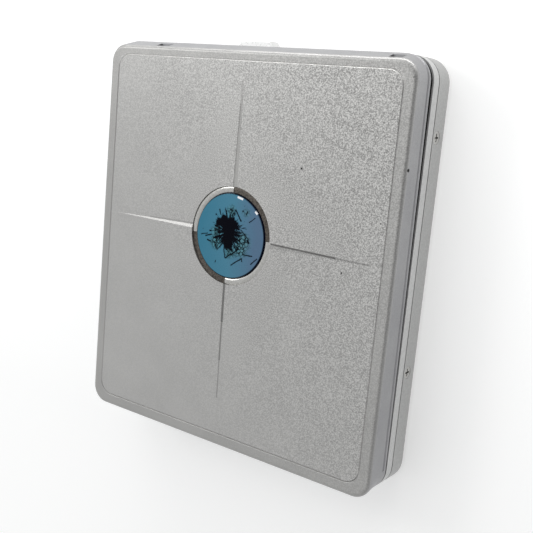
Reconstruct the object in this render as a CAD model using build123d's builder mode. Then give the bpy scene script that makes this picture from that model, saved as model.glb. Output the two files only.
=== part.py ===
from build123d import *
import math
import os

os.makedirs("parts", exist_ok=True)

# Portable minidisc player, lying on its back. Millimetres: +X is the right side, +Y the end
# that opens, +Z the lid's face. The origin is the middle of the flat back, on the table.

# ---- driving dimensions -------------------------------------------------------------------
case_height = 14.0
corner_radius = 4.6
back_edge_radius = 1.8
face_edge_radius = 0.8

# the disc cartridge that the player takes: a standard size
cartridge_length = 72.0
cartridge_width = 68.0
cartridge_thickness = 5.0
cartridge_clearance = 0.2

# room that the case keeps round the cartridge
rail_side_gap = 0.9
cartridge_front_gap = 1.25
hinge_space = 6.1

# heights of the layers, from the table up
shell_floor = 0.6
shell_wall = 0.8
shell_height = 5.5
band_groove = 0.25
band_height = 2.05
band_wall = 1.1
gap_at_hinge = 0.4
gap_at_front = 1.3

# lid
lid_wall = 0.7
lid_front_draft = 1.2
lid_lip = 0.45
lid_groove_rise = 0.35
lid_groove_height = 0.95
lid_groove_depth = 0.2
liner_thickness = 0.2
liner_slot_length = 14.0
liner_slot_side_inset = 16.0
liner_slot_rear_inset = 14.0
liner_slot_front_inset = 12.0
hinge_radius = 1.9
hinge_pin_radius = 0.5
ear_radius = 1.05
ear_thickness = 1.0
ear_gap = 0.2
notch_gap = 0.15
frame_ear_thickness = 1.6
frame_ear_inset = 7.6
running_clearance = 0.05

# face ornament
jewel_x = -0.4
jewel_y = 3.38
ring_radius = 9.75
jewel_radius = 8.4
jewel_height = 0.3
jewel_crown = 0.15
ring_slit = 0.1
arm_reach = 32.0
arm_rise = 0.3
arm_shift = 0.2
arm_slope = 0.95
border_inset = 2.5
border_front_inset = 2.95
border_width = 0.34
border_depth = 0.12
border_radius = 3.0

# disc holder
holder_sheet = 0.3
holder_lip = 2.5
rail_wall = 0.4
holder_lid_gap = 0.2
stop_thickness = 0.4
roof_corner = 2.2
tongue_inset = 10.6

# deck and drive
deck_thickness = 0.6
deck_top_gap = 0.7
bush_height = 1.1
pin_rear_inset = 18.7
pin_side_inset = 7.2
turntable_radius = 5.8
turntable_top_gap = 0.6
shaft_radius = 0.75
rotor_radius = 9.8
rotor_wall = 1.1
motor_base_radius = 11.0
rod_radius = 0.75
rod_height = 3.9
rod_spread = 8.5
sled_length = 7.0
sled_travel = 13.6
lens_radius = 1.6
lens_offset = 2.4
screw_radius = 0.9
screw_offset = 12.0
gear_module = 0.2
screw_gear_teeth = 15
pinion_teeth = 8

# battery: a flat rechargeable cell of a standard size
battery_length = 66.5
battery_width = 16.6
battery_thickness = 5.6
battery_clearance = 0.15
battery_rear_space = 5.0
battery_end_room = 3.5
door_thickness = 1.0
door_pin_radius = 0.4

# controls and sockets
jack_radius = 1.8
jack_depth = 13.0
jack_nose_radius = 2.6
jack_front_inset = 15.4
jack_z = 3.45
button_count = 5
button_space = 0.8
button_hold_space = 6.4
button_jack_space = 7.3
button_height = 2.0
button_proud = 0.3
button_travel = 0.4
button_z = 3.0
hold_rear_inset = 29.9
hold_travel = 1.6
hold_proud = 0.5
knob_x = -3.9
knob_stem_half = 1.5
knob_width = 8.6
knob_height = 3.0
knob_proud = 1.6
knob_z = 4.9
knob_travel = 3.0
wall_gap = 0.1
catch_half = 0.7
catch_toe = 0.5
hook_thickness = 0.7
catch_inset = 15.2
left_tab_inset = 13.9
left_tab_width = 3.4
right_tab_inset = 5.0
right_tab_width = 2.7
slot_drop = 1.6

# fasteners
side_screw_radius = 1.2
side_screw_drop = 1.45
side_screw_front_inset = 13.9
side_screw_rear_inset = 22.9
left_screw_front_inset = 8.4
left_screw_rear_inset = 24.5
back_screw_radius = 1.35
screw_shank_radius = 0.7
post_side_inset = 5.2
post_front_inset = 6.9
post_rear_inset = 26.4
post_radius = 1.7

# ---- places worked out from them ----------------------------------------------------------
case_width = cartridge_width + 2 * (cartridge_clearance + rail_wall + rail_side_gap + lid_wall)
case_length = (
    cartridge_length + cartridge_clearance + cartridge_front_gap + lid_wall + hinge_space
)
half_width = case_width / 2
half_length = case_length / 2
band_bottom = shell_height + band_groove
band_top = band_bottom + band_height
skirt_rear_z = band_top + gap_at_hinge
skirt_front_z = band_top + gap_at_front
face_z = case_height
draft_start_z = skirt_front_z + lid_lip + lid_groove_height + 0.1
plate_bottom = face_z - lid_wall
liner_bottom = plate_bottom - liner_thickness

frame_ear_x = half_width - frame_ear_inset
hinge_y = -half_length + hinge_radius
hinge_z = skirt_rear_z + hinge_radius

holder_top_z = liner_bottom - holder_lid_gap
slot_top = holder_top_z - holder_sheet
slot_bottom = slot_top - cartridge_thickness - cartridge_clearance
lip_bottom = slot_bottom - holder_sheet
holder_front_y = half_length - lid_wall - cartridge_front_gap
slot_rear_y = holder_front_y - cartridge_length - cartridge_clearance
rail_inner = cartridge_width / 2 + cartridge_clearance
rail_outer = rail_inner + rail_wall
spindle_y = holder_front_y - cartridge_length / 2

deck_top = lip_bottom - deck_top_gap
deck_bottom = deck_top - deck_thickness
post_top = deck_bottom - bush_height
deck_half_width = half_width - band_wall - 0.4
deck_front_y = holder_front_y - 2.2
turntable_z = slot_bottom + turntable_top_gap
pin_x = rail_inner - pin_side_inset
pin_y = slot_rear_y + pin_rear_inset

inner_width = half_width - shell_wall
inner_length = half_length - shell_wall
battery_y = -half_length + battery_rear_space + battery_width / 2
bay_half = battery_width / 2 + battery_clearance
tray_wall = 0.5
tray_half = bay_half + tray_wall
battery_bottom = shell_floor + 0.1
battery_top = battery_bottom + battery_thickness
cover_bottom = battery_top + battery_clearance
cover_thickness = 0.3
battery_right = half_width - battery_end_room
battery_left = battery_right - battery_length

door_pin_x = -half_width + door_thickness
door_pin_y = battery_y - tray_half + 1.25
door_rear_y = door_pin_y - door_thickness - wall_gap
door_end_y = battery_y + tray_half + 0.2
door_bottom = shell_floor - 0.1
door_boss_top = lip_bottom - 0.15

rod_y_main = spindle_y + rod_spread
rod_y_second = spindle_y - rod_spread
screw_y = spindle_y + screw_offset
inner_bracket_x = motor_base_radius + 0.4
bracket_thickness = 0.8
outer_bracket_x = half_width - band_wall - 1.7
sled_x = inner_bracket_x + bracket_thickness + 0.2
lens_x = sled_x + lens_offset

post_x = half_width - post_side_inset
post_front_y = half_length - post_front_inset
post_rear_y = -half_length + post_rear_inset
post_places = [
    (post_x, post_front_y),
    (-post_x, post_front_y),
    (post_x, post_rear_y),
    (-post_x, post_rear_y),
]
jack_y = half_length - jack_front_inset
catch_x = half_width - catch_inset
catch_y0 = half_length - shell_wall - 0.4
catch_y1 = half_length - lid_wall
catch_bottom = shell_height + wall_gap
hook_bottom = catch_bottom + catch_toe + wall_gap
tab_slots = [
    (-half_width + left_tab_inset, left_tab_width),
    (half_width - right_tab_inset, right_tab_width),
]
hold_y = -half_length + hold_rear_inset
button_first_y = hold_y + button_hold_space
button_pitch = (jack_y - button_jack_space - button_first_y) / (button_count - 1)
button_length = button_pitch - button_space
button_ys = [button_first_y + button_pitch * i for i in range(button_count)]
side_screw_z = shell_height - side_screw_drop
side_screws = [
    (1, half_length - side_screw_front_inset),
    (1, -half_length + side_screw_rear_inset),
    (-1, half_length - left_screw_front_inset),
    (-1, -half_length + left_screw_rear_inset),
]


# ---- shared shapes ------------------------------------------------------------------------
def block(x0, x1, y0, y1, z0, z1, mode=Mode.ADD):
    """A plain slab between two corners, added to the part in hand."""
    with Locations(((x0 + x1) / 2, (y0 + y1) / 2, (z0 + z1) / 2)):
        Box(abs(x1 - x0), abs(y1 - y0), abs(z1 - z0), mode=mode)


def case_outline(z, inset=0.0):
    """The case's rounded rectangle at height z, set in from the sides."""
    with BuildSketch(Plane.XY.offset(z)) as outline:
        RectangleRounded(
            case_width - 2 * inset, case_length - 2 * inset, max(corner_radius - inset, 0.5)
        )
    return outline.sketch


def lid_outline(z, inset=0.0):
    """The lid's outline at height z: above draft_start_z its front wall leans back."""
    lean = lid_front_draft * (z - draft_start_z) / (face_z - draft_start_z)
    with BuildSketch(Plane.XY.offset(z)) as outline:
        with Locations((0, -lean / 2)):
            RectangleRounded(
                case_width - 2 * inset, case_length - 2 * inset - lean,
                max(corner_radius - inset - lean, 0.5),
            )
    return outline.sketch


def upright(x, y, z0, z1, radius, mode=Mode.ADD):
    """A cylinder that stands along Z."""
    with Locations((x, y, (z0 + z1) / 2)):
        Cylinder(radius, z1 - z0, mode=mode)


def along_x(x0, x1, y, z, radius, mode=Mode.ADD):
    """A cylinder that lies along X."""
    with Locations(Location(((x0 + x1) / 2, y, z), (0, 90, 0))):
        Cylinder(radius, abs(x1 - x0), mode=mode)


def case_form():
    """The solid outer form of the lower case, with its rounded back edge."""
    with BuildPart() as form:
        extrude(case_outline(0), amount=band_top)
        fillet(form.faces().sort_by(Axis.Z)[0].edges(), radius=back_edge_radius)
    return form.part


def hinge_ear(x0, x1, base_y0, base_y1, base_z):
    """A lug from a base up or down to the hinge axis, with a round end."""
    with BuildSketch(Plane.YZ.offset(x0)) as profile:
        with Locations((hinge_y, hinge_z)):
            Circle(ear_radius)
        with BuildLine():
            Polyline(
                (base_y0, base_z),
                (base_y1, base_z),
                (hinge_y + ear_radius, hinge_z),
                (hinge_y - ear_radius, hinge_z),
                close=True,
            )
        make_face()
    extrude(profile.sketch, amount=x1 - x0)


def spur_gear(x0, width, y, z, teeth, turn=0.0):
    """A small moulded gear about an X axis; its teeth are plain trapezoids."""
    pitch = gear_module * teeth / 2
    root = pitch - 1.2 * gear_module
    tip = pitch + 0.9 * gear_module
    half_tooth = math.pi * gear_module / 4 - 0.02
    with BuildSketch(Plane.YZ.offset(x0)) as profile:
        with Locations((y, z)):
            Circle(root)
            with PolarLocations(0, teeth, start_angle=turn):
                with Locations(((root + tip) / 2, 0)):
                    Trapezoid(2.6 * half_tooth, tip - root + 0.06, 72, rotation=-90)
    extrude(profile.sketch, amount=width)


def lip_groove_form():
    """The shallow groove above the lid's lower lip, which runs parallel to the sloping edge."""
    slope = (skirt_front_z - skirt_rear_z) / (case_length + 1)
    middle_z = skirt_rear_z + slope * half_length
    lip_plane = Plane((0, 0, middle_z), x_dir=(1, 0, 0), z_dir=(0, -slope, 1))
    levels = []
    for rise, inset in (
        (lid_lip, -wall_gap), (lid_lip + lid_groove_rise, lid_groove_depth),
        (lid_lip + lid_groove_height, -wall_gap),
    ):
        with BuildSketch(lip_plane.offset(rise)) as level:
            RectangleRounded(
                case_width - 2 * inset, case_length - 2 * inset, corner_radius - inset
            )
        levels.append(level.sketch)
    with BuildPart() as groove:
        with BuildSketch(lip_plane.offset(lid_lip)) as surround:
            Rectangle(case_width + 2, case_length + 2)
        extrude(surround.sketch, amount=lid_groove_height)
        loft(sections=levels[:2], ruled=True, mode=Mode.SUBTRACT)
        loft(sections=levels[1:], ruled=True, mode=Mode.SUBTRACT)
        block(
            -half_width - 2, half_width + 2, -half_length - 2,
            -half_length + 2 * hinge_radius + 1, skirt_rear_z - 2, face_z, mode=Mode.SUBTRACT,
        )
    return groove.part


lower_form = case_form()

# ---- lower case ---------------------------------------------------------------------------
# deep-drawn aluminium tray: the back and the four low walls
with BuildPart() as bottom_shell:
    extrude(case_outline(0), amount=shell_height)
    fillet(bottom_shell.faces().sort_by(Axis.Z)[0].edges(), radius=back_edge_radius)
    extrude(case_outline(shell_floor, shell_wall), amount=shell_height, mode=Mode.SUBTRACT)
    inner_floor = bottom_shell.faces().filter_by(Axis.Z).sort_by(Axis.Z)[1]
    fillet(inner_floor.edges(), radius=back_edge_radius - shell_wall)
    # battery door opening, with room behind the pin for the open door
    block(
        -half_width - 1, -inner_width + 0.9, door_rear_y, door_end_y + wall_gap,
        door_bottom - running_clearance, band_top, mode=Mode.SUBTRACT,
    )
    upright(
        door_pin_x, door_pin_y, door_bottom - running_clearance, band_top,
        door_thickness + wall_gap, mode=Mode.SUBTRACT,
    )
    # headphone socket, buttons, hold switch and opening knob
    along_x(-half_width - 1, -inner_width + 1, jack_y, jack_z, jack_nose_radius, Mode.SUBTRACT)
    for button_y in button_ys:
        with BuildSketch(Plane.YZ.offset(-half_width - 1)) as button_hole:
            with Locations((button_y, button_z)):
                SlotOverall(button_length + 2 * wall_gap, button_height + 2 * wall_gap)
        extrude(button_hole.sketch, amount=shell_wall + 1.5, mode=Mode.SUBTRACT)
    with BuildSketch(Plane.YZ.offset(-half_width - 1)) as hold_slot:
        with Locations((hold_y + hold_travel / 2, button_z)):
            SlotOverall(3.0 + hold_travel, 1.4)
    extrude(hold_slot.sketch, amount=shell_wall + 1.5, mode=Mode.SUBTRACT)
    block(
        knob_x - knob_stem_half - wall_gap, knob_x + knob_stem_half + knob_travel + wall_gap,
        inner_length - 1, half_length + 1, knob_z - 0.8, band_top, mode=Mode.SUBTRACT,
    )
    # screw seats in the sides and the back
    for side, screw_y_place in side_screws:
        along_x(
            side * (inner_width - 1), side * (half_width + 1), screw_y_place, side_screw_z,
            side_screw_radius, Mode.SUBTRACT,
        )
    for place in post_places:
        upright(*place, -1, shell_floor + 1, back_screw_radius, Mode.SUBTRACT)
bottom_shell.part.label = "bottom_shell"
export_step(bottom_shell.part, "parts/bottom_shell.step")

# moulded frame: the pale band round the waist, with the hinge ears and the deck's posts
with BuildPart() as mid_frame:
    extrude(case_outline(band_bottom), amount=band_height)
    extrude(case_outline(band_bottom - 0.6, shell_wall + wall_gap), amount=0.6)
    extrude(case_outline(0, shell_wall + 1.1), amount=band_top, mode=Mode.SUBTRACT)
    extrude(
        case_outline(band_bottom, band_wall), amount=band_height, mode=Mode.SUBTRACT
    )
    for x, y in post_places:
        side = math.copysign(1, x)
        block(
            x - 2 * side, side * (inner_width - wall_gap), y - 1.6, y + 1.6,
            post_top - 0.7, post_top,
        )
        block(
            side * (inner_width - wall_gap - 0.8), side * (inner_width - wall_gap),
            y - 1.6, y + 1.6, post_top - 0.7, band_bottom,
        )
        upright(x, y, shell_floor, post_top, post_radius)
        upright(x, y, post_top, deck_top + 0.2, screw_shank_radius)
        upright(x, y, 0, shell_floor + 2.4, screw_shank_radius, Mode.SUBTRACT)
    for side, screw_y_place in side_screws:
        block(
            side * (inner_width - wall_gap - 0.8), side * (inner_width - wall_gap),
            screw_y_place - 2, screw_y_place + 2, side_screw_z - 1.6, band_bottom,
        )
        along_x(
            side * (inner_width - 2), side * half_width, screw_y_place, side_screw_z,
            screw_shank_radius, Mode.SUBTRACT,
        )
    for side in (-1, 1):
        ear_x0 = side * frame_ear_x if side > 0 else -frame_ear_x - frame_ear_thickness
        hinge_ear(
            ear_x0, ear_x0 + frame_ear_thickness, hinge_y - ear_radius, hinge_y + ear_radius,
            band_top - 0.5,
        )
        block(
            ear_x0, ear_x0 + frame_ear_thickness, -half_length + 0.5, hinge_y + ear_radius,
            band_bottom, band_top,
        )
        along_x(ear_x0 - 1, ear_x0 + 4, hinge_y, hinge_z, hinge_pin_radius, Mode.SUBTRACT)
    # openings for the door, the socket, the knob and the lid's two catches
    block(
        -half_width - 1, -half_width + 3, door_rear_y, door_end_y + wall_gap, 0, band_top + 1,
        mode=Mode.SUBTRACT,
    )
    upright(door_pin_x, door_pin_y, 0, band_top + 1, door_thickness + wall_gap, Mode.SUBTRACT)
    along_x(-half_width - 1, -inner_width + 3, jack_y, jack_z, jack_nose_radius, Mode.SUBTRACT)
    block(
        -half_width + band_wall, -inner_width + 3, jack_y - 3, jack_y + 3, 0, deck_bottom,
        mode=Mode.SUBTRACT,
    )
    block(
        knob_x - knob_stem_half - wall_gap, knob_x + knob_stem_half + knob_travel + wall_gap,
        inner_length - 3, half_length + 1, 0, knob_z + 0.8, mode=Mode.SUBTRACT,
    )
    block(
        -half_width + 8.2, half_width - 8.2, inner_length - 3, inner_length, 0, band_bottom,
        mode=Mode.SUBTRACT,
    )
    for x in (-catch_x, catch_x):
        block(
            x - catch_half - 0.3, x + catch_half + 3.4 + knob_travel, inner_length - 2,
            catch_y1 + 0.25, 0, band_top + 1, mode=Mode.SUBTRACT,
        )
mid_frame.part.label = "mid_frame"
export_step(mid_frame.part, "parts/mid_frame.step")

# ---- fasteners of the lower case ----------------------------------------------------------
# four cross-head screws in the sides, flush with the wall
with BuildPart() as side_screw_set:
    for side, screw_y_place in side_screws:
        along_x(
            side * inner_width, side * (half_width - 0.05), screw_y_place, side_screw_z,
            side_screw_radius - 0.03,
        )
        along_x(
            side * (inner_width - 1.4), side * inner_width, screw_y_place, side_screw_z,
            screw_shank_radius,
        )
        for length, height in ((1.5, 0.32), (0.32, 1.5)):
            block(
                side * (half_width - 0.35), side * half_width, screw_y_place - length / 2,
                screw_y_place + length / 2, side_screw_z - height / 2,
                side_screw_z + height / 2, mode=Mode.SUBTRACT,
            )
side_screw_set.part.label = "side_screws"
export_step(side_screw_set.part, "parts/side_screws.step")

# four cross-head screws in the back, under the deck's posts
with BuildPart() as back_screw_set:
    for x, y in post_places:
        upright(x, y, 0.05, shell_floor, back_screw_radius - 0.03)
        upright(x, y, shell_floor, shell_floor + 2.2, screw_shank_radius)
        block(x - 0.75, x + 0.75, y - 0.16, y + 0.16, 0, 0.3, mode=Mode.SUBTRACT)
        block(x - 0.16, x + 0.16, y - 0.75, y + 0.75, 0, 0.3, mode=Mode.SUBTRACT)
back_screw_set.part.label = "back_screws"
export_step(back_screw_set.part, "parts/back_screws.step")

# one steel pin a side carries the frame's ear, the lid's ear and the holder's ear
pin_inner_x = frame_ear_x - ear_gap - ear_thickness - 0.2
pin_outer_x = frame_ear_x + frame_ear_thickness + ear_gap + ear_thickness + 0.2
with BuildPart() as hinge_pin_pair:
    for side in (-1, 1):
        along_x(side * pin_inner_x, side * pin_outer_x, hinge_y, hinge_z, hinge_pin_radius)
    pin_rims = hinge_pin_pair.edges().filter_by(GeomType.CIRCLE)
    chamfer(pin_rims, length=0.1)
hinge_pin_pair.part.label = "hinge_pins"
export_step(hinge_pin_pair.part, "parts/hinge_pins.step")

# ---- battery bay --------------------------------------------------------------------------
# moulded trough beside the back wall: two walls and a closed end
tray_left = -half_width + 2.2
tray_end = battery_right + 1.6
with BuildPart() as battery_tray:
    block(
        tray_left, tray_end, battery_y - tray_half, battery_y + tray_half,
        shell_floor, cover_bottom,
    )
    block(
        tray_left - 1, tray_end - tray_wall, battery_y - bay_half, battery_y + bay_half,
        shell_floor - 1, cover_bottom + 1, mode=Mode.SUBTRACT,
    )
    # cut back where the long walls would meet the case's rounded corner and floor edge
    with BuildSketch(Plane.XY) as corner_limit:
        RectangleRounded(
            2 * (inner_width - wall_gap), 2 * (inner_length - wall_gap),
            corner_radius - shell_wall,
        )
    extrude(corner_limit.sketch, amount=case_height, mode=Mode.INTERSECT)
    upright(
        door_pin_x, door_pin_y, 0, case_height, door_thickness + 3 * wall_gap, Mode.SUBTRACT
    )
battery_tray.part.label = "battery_tray"
export_step(battery_tray.part, "parts/battery_tray.step")

# flat cell with a raised contact at its far end
with BuildPart() as battery:
    block(
        battery_left, battery_right - 0.8, battery_y - battery_width / 2,
        battery_y + battery_width / 2, battery_bottom, battery_top,
    )
    fillet(battery.edges().filter_by(Axis.X), radius=1.0)
    with BuildSketch(Plane.YZ.offset(battery_right - 0.8)) as cell_pole:
        with Locations((battery_y, (battery_bottom + battery_top) / 2)):
            SlotOverall(6.0, 2.4)
    extrude(cell_pole.sketch, amount=0.8)
battery.part.label = "battery"
export_step(battery.part, "parts/battery.step")

# sprung strips at the closed end of the bay: one on the pole, one each side on the can
contact_sheet = 0.2
contact_half = 1.6
contact_root_x = tray_end - tray_wall
with BuildPart() as battery_contact_set:
    for place, tip_x in (
        (0.0, battery_right + 0.2),
        (-6.2, battery_right - 0.6),
        (6.2, battery_right - 0.6),
    ):
        with BuildSketch(Plane.XY.offset(battery_bottom + 1.4)) as strip:
            with BuildLine():
                ThreePointArc(
                    (contact_root_x, battery_y + place - contact_half),
                    (tip_x, battery_y + place),
                    (contact_root_x, battery_y + place + contact_half),
                )
                Line(
                    (contact_root_x, battery_y + place + contact_half),
                    (contact_root_x, battery_y + place + contact_half - contact_sheet),
                )
                ThreePointArc(
                    (contact_root_x, battery_y + place + contact_half - contact_sheet),
                    (tip_x + contact_sheet, battery_y + place),
                    (contact_root_x, battery_y + place - contact_half + contact_sheet),
                )
                Line(
                    (contact_root_x, battery_y + place - contact_half + contact_sheet),
                    (contact_root_x, battery_y + place - contact_half),
                )
            make_face()
        extrude(strip.sketch, amount=2.6)
battery_contact_set.part.label = "battery_contacts"
export_step(battery_contact_set.part, "parts/battery_contacts.step")

# thin steel plate that closes the bay under the cartridge
with BuildPart() as battery_cover:
    with BuildSketch(Plane.XY.offset(cover_bottom)) as cover_outline:
        with Locations((0, battery_y)):
            Rectangle(2 * (inner_width - 0.5), 2 * tray_half + 0.6)
        with Locations((door_pin_x, door_pin_y)):
            Circle(door_thickness + 3 * wall_gap, mode=Mode.SUBTRACT)
        with GridLocations(22, 1, 3, 1):
            with Locations((0, battery_y)):
                SlotOverall(9, 2, mode=Mode.SUBTRACT)
    extrude(cover_outline.sketch, amount=cover_thickness)
battery_cover.part.label = "battery_cover"
export_step(battery_cover.part, "parts/battery_cover.step")

# door in the left side: it follows the case's outer form and swings on a pin
with BuildPart() as battery_door:
    add(lower_form)
    block(
        -half_width, -half_width + door_thickness, door_pin_y, door_end_y,
        door_bottom, band_top, mode=Mode.INTERSECT,
    )
    # the pivot boss stops below the disc holder's rail
    upright(door_pin_x, door_pin_y, door_bottom, door_boss_top, door_thickness - 0.02)
    upright(
        door_pin_x, door_pin_y, 0, case_height, door_pin_radius + running_clearance,
        Mode.SUBTRACT,
    )
    # shallow thumb groove near the free end
    for step in range(3):
        block(
            -half_width - 1, -half_width + 0.25, door_end_y - 1.6 - 1.1 * step,
            door_end_y - 1.1 - 1.1 * step, 2.2, band_top - 1.4, mode=Mode.SUBTRACT,
        )
battery_door.part.label = "battery_door"
export_step(battery_door.part, "parts/battery_door.step")

with BuildPart() as battery_door_pin:
    upright(
        door_pin_x, door_pin_y, door_bottom - running_clearance, door_boss_top,
        door_pin_radius,
    )
battery_door_pin.part.label = "battery_door_pin"
export_step(battery_door_pin.part, "parts/battery_door_pin.step")

# ---- deck and its mounts ------------------------------------------------------------------
deck_rear_y = battery_y + tray_half + 0.5
window_left = lens_x - 3.1
window_right = lens_x + sled_travel + 3.6
window_half = 3.7
with BuildPart() as chassis_deck:
    with BuildSketch(Plane.XY.offset(deck_bottom)) as deck_outline:
        deck_length = deck_front_y - deck_rear_y
        deck_middle = (deck_front_y + deck_rear_y) / 2
        with Locations((0, deck_middle)):
            RectangleRounded(2 * deck_half_width, deck_length, 1.5)
        with Locations((0, spindle_y)):
            Circle(3.3, mode=Mode.SUBTRACT)
        with Locations(((window_left + window_right) / 2, spindle_y)):
            RectangleRounded(
                window_right - window_left, 2 * window_half, 0.6, mode=Mode.SUBTRACT
            )
        with Locations(*post_places):
            Circle(1.45, mode=Mode.SUBTRACT)
        # lightening slots beside the motor
        with Locations((-18, spindle_y + 13), (-18, spindle_y - 11), (8, deck_front_y - 7)):
            SlotOverall(16, 4, mode=Mode.SUBTRACT)
    extrude(deck_outline.sketch, amount=deck_thickness)
    # pressed stiffening rings round the spindle, and a down-turned front edge
    with BuildSketch(Plane.XY.offset(deck_top)) as ring_outline:
        with Locations((0, spindle_y)):
            Circle(9.4)
            Circle(8.6, mode=Mode.SUBTRACT)
    extrude(ring_outline.sketch, amount=0.2)
    block(
        -post_x + 6, post_x - 6, deck_front_y - 0.5, deck_front_y, deck_bottom - 1.2,
        deck_bottom,
    )
chassis_deck.part.label = "chassis_deck"
export_step(chassis_deck.part, "parts/chassis_deck.step")

# rubber bushes that float the deck on the posts
with BuildPart() as deck_damper_set:
    for x, y in post_places:
        with BuildSketch(Plane.XZ.offset(-y)) as bush:
            with BuildLine():
                Polyline(
                    (x + screw_shank_radius, post_top),
                    (x + 2.1, post_top),
                    (x + 2.1, deck_bottom),
                    (x + 1.4, deck_bottom),
                    (x + 1.4, deck_top),
                    (x + 1.9, deck_top),
                    (x + 1.9, deck_top + 0.3),
                    (x + screw_shank_radius, deck_top + 0.3),
                    close=True,
                )
            make_face()
        revolve(bush.sketch, axis=Axis((x, y, 0), (0, 0, 1)))
deck_damper_set.part.label = "deck_dampers"
export_step(deck_damper_set.part, "parts/deck_dampers.step")

# two tapered pins that find the cartridge's holes
with BuildPart() as locating_pin_pair:
    for x in (-pin_x, pin_x):
        with Locations((x, pin_y, deck_top + 0.35)):
            Cylinder(1.6, 0.7)
        with Locations((x, pin_y, (deck_top + 0.7 + turntable_z) / 2)):
            Cone(1.1, 0.7, turntable_z - deck_top - 0.7)
locating_pin_pair.part.label = "locating_pins"
export_step(locating_pin_pair.part, "parts/locating_pins.step")

# ---- spindle motor ------------------------------------------------------------------------
motor_floor = shell_floor + 0.8
motor_plate = 0.6
coil_top = 4.4
rotor_bottom = 2.6
rotor_top = deck_bottom - 0.5
bearing_radius = 2.0
with BuildPart() as motor_base:
    with BuildSketch(Plane.XY.offset(motor_floor)) as base_outline:
        with Locations((0, spindle_y)):
            Circle(motor_base_radius)
            with PolarLocations(motor_base_radius + 1.2, 3, start_angle=150, angular_range=225):
                Circle(1.5)
    extrude(base_outline.sketch, amount=motor_plate)
    upright(0, spindle_y, motor_floor, coil_top + 0.2, bearing_radius)
    upright(
        0, spindle_y, motor_floor + 0.2, case_height, shaft_radius + running_clearance,
        Mode.SUBTRACT,
    )
motor_base.part.label = "spindle_motor_base"
export_step(motor_base.part, "parts/spindle_motor_base.step")

# posts that hang the motor's base from the deck
with BuildPart() as motor_post_set:
    with BuildSketch(Plane.XY.offset(motor_floor + motor_plate)) as post_outline:
        with Locations((0, spindle_y)):
            with PolarLocations(motor_base_radius + 1.2, 3, start_angle=150, angular_range=225):
                Circle(1.0)
    extrude(post_outline.sketch, amount=deck_bottom - motor_floor - motor_plate)
motor_post_set.part.label = "motor_posts"
export_step(motor_post_set.part, "parts/motor_posts.step")

# nine wound poles round the bearing
coil_count = 9
with BuildPart() as motor_coils:
    with BuildSketch(Plane.XY.offset(motor_floor + motor_plate)) as coil_outline:
        with Locations((0, spindle_y)):
            Circle(bearing_radius + 1.4)
            with PolarLocations(5.0, coil_count):
                Rectangle(4.4, 1.5)
            Circle(bearing_radius, mode=Mode.SUBTRACT)
    extrude(coil_outline.sketch, amount=coil_top - motor_floor - motor_plate)
motor_coils.part.label = "motor_coils"
export_step(motor_coils.part, "parts/motor_coils.step")

# turning can over the coils
with BuildPart() as rotor_can:
    with BuildSketch(Plane.XZ.offset(-spindle_y)) as can_profile:
        with BuildLine():
            Polyline(
                (shaft_radius, rotor_top + 0.4),
                (2.4, rotor_top + 0.4),
                (2.4, rotor_top),
                (rotor_radius - 0.5, rotor_top),
                (rotor_radius, rotor_top - 0.5),
                (rotor_radius, rotor_bottom),
                (rotor_radius - rotor_wall, rotor_bottom),
                (rotor_radius - rotor_wall, rotor_top - 0.5),
                (shaft_radius, rotor_top - 0.5),
                close=True,
            )
        make_face()
    revolve(can_profile.sketch, axis=Axis((0, spindle_y, 0), (0, 0, 1)))
rotor_can.part.label = "rotor_can"
export_step(rotor_can.part, "parts/rotor_can.step")

with BuildPart() as spindle_shaft:
    upright(0, spindle_y, motor_floor + 0.3, turntable_z, shaft_radius)
spindle_shaft.part.label = "spindle_shaft"
export_step(spindle_shaft.part, "parts/spindle_shaft.step")

# turntable: a flange with a raised nose that enters the disc's hub
table_bottom = deck_top + 0.35
table_top = turntable_z - 0.6
with BuildPart() as turntable:
    with BuildSketch(Plane.XZ.offset(-spindle_y)) as table_profile:
        with BuildLine():
            Polyline(
                (shaft_radius, turntable_z - 0.1),
                (1.6, turntable_z - 0.1),
                (2.0, table_top + 0.2),
                (2.0, table_top),
                (3.0, table_top),
                (3.0, table_top - 0.35),
                (5.0, table_top - 0.35),
                (5.0, table_top),
                (turntable_radius, table_top),
                (turntable_radius, table_bottom + 0.1),
                (2.6, table_bottom + 0.1),
                (2.6, table_bottom - 0.6),
                (shaft_radius, table_bottom - 0.6),
                close=True,
            )
        make_face()
    revolve(table_profile.sketch, axis=Axis((0, spindle_y, 0), (0, 0, 1)))
turntable.part.label = "turntable"
export_step(turntable.part, "parts/turntable.step")

# ring magnet that clamps the disc's steel hub
with BuildPart() as clamp_magnet:
    upright(0, spindle_y, table_top - 0.35, table_top - 0.05, 5.0)
    upright(0, spindle_y, 0, case_height, 3.0, Mode.SUBTRACT)
clamp_magnet.part.label = "clamp_magnet"
export_step(clamp_magnet.part, "parts/clamp_magnet.step")

# ---- pickup and its drive -----------------------------------------------------------------
bracket_bottom = 2.4
bracket_y0 = rod_y_second - 1.5
bracket_y1 = screw_y + 1.9
with BuildPart() as rod_bracket_pair:
    for x in (inner_bracket_x, outer_bracket_x):
        with BuildSketch(Plane.YZ.offset(x)) as bracket_outline:
            with Locations(((bracket_y0 + bracket_y1) / 2, (bracket_bottom + deck_bottom) / 2)):
                RectangleRounded(bracket_y1 - bracket_y0, deck_bottom - bracket_bottom, 0.5)
            with Locations((rod_y_main, rod_height), (rod_y_second, rod_height)):
                Circle(rod_radius, mode=Mode.SUBTRACT)
            with Locations((screw_y, rod_height)):
                Circle(screw_radius + running_clearance, mode=Mode.SUBTRACT)
            with Locations((spindle_y, bracket_bottom)):
                SlotOverall(9, 2.4, mode=Mode.SUBTRACT)
        extrude(bracket_outline.sketch, amount=bracket_thickness)
rod_bracket_pair.part.label = "rod_brackets"
export_step(rod_bracket_pair.part, "parts/rod_brackets.step")

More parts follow.
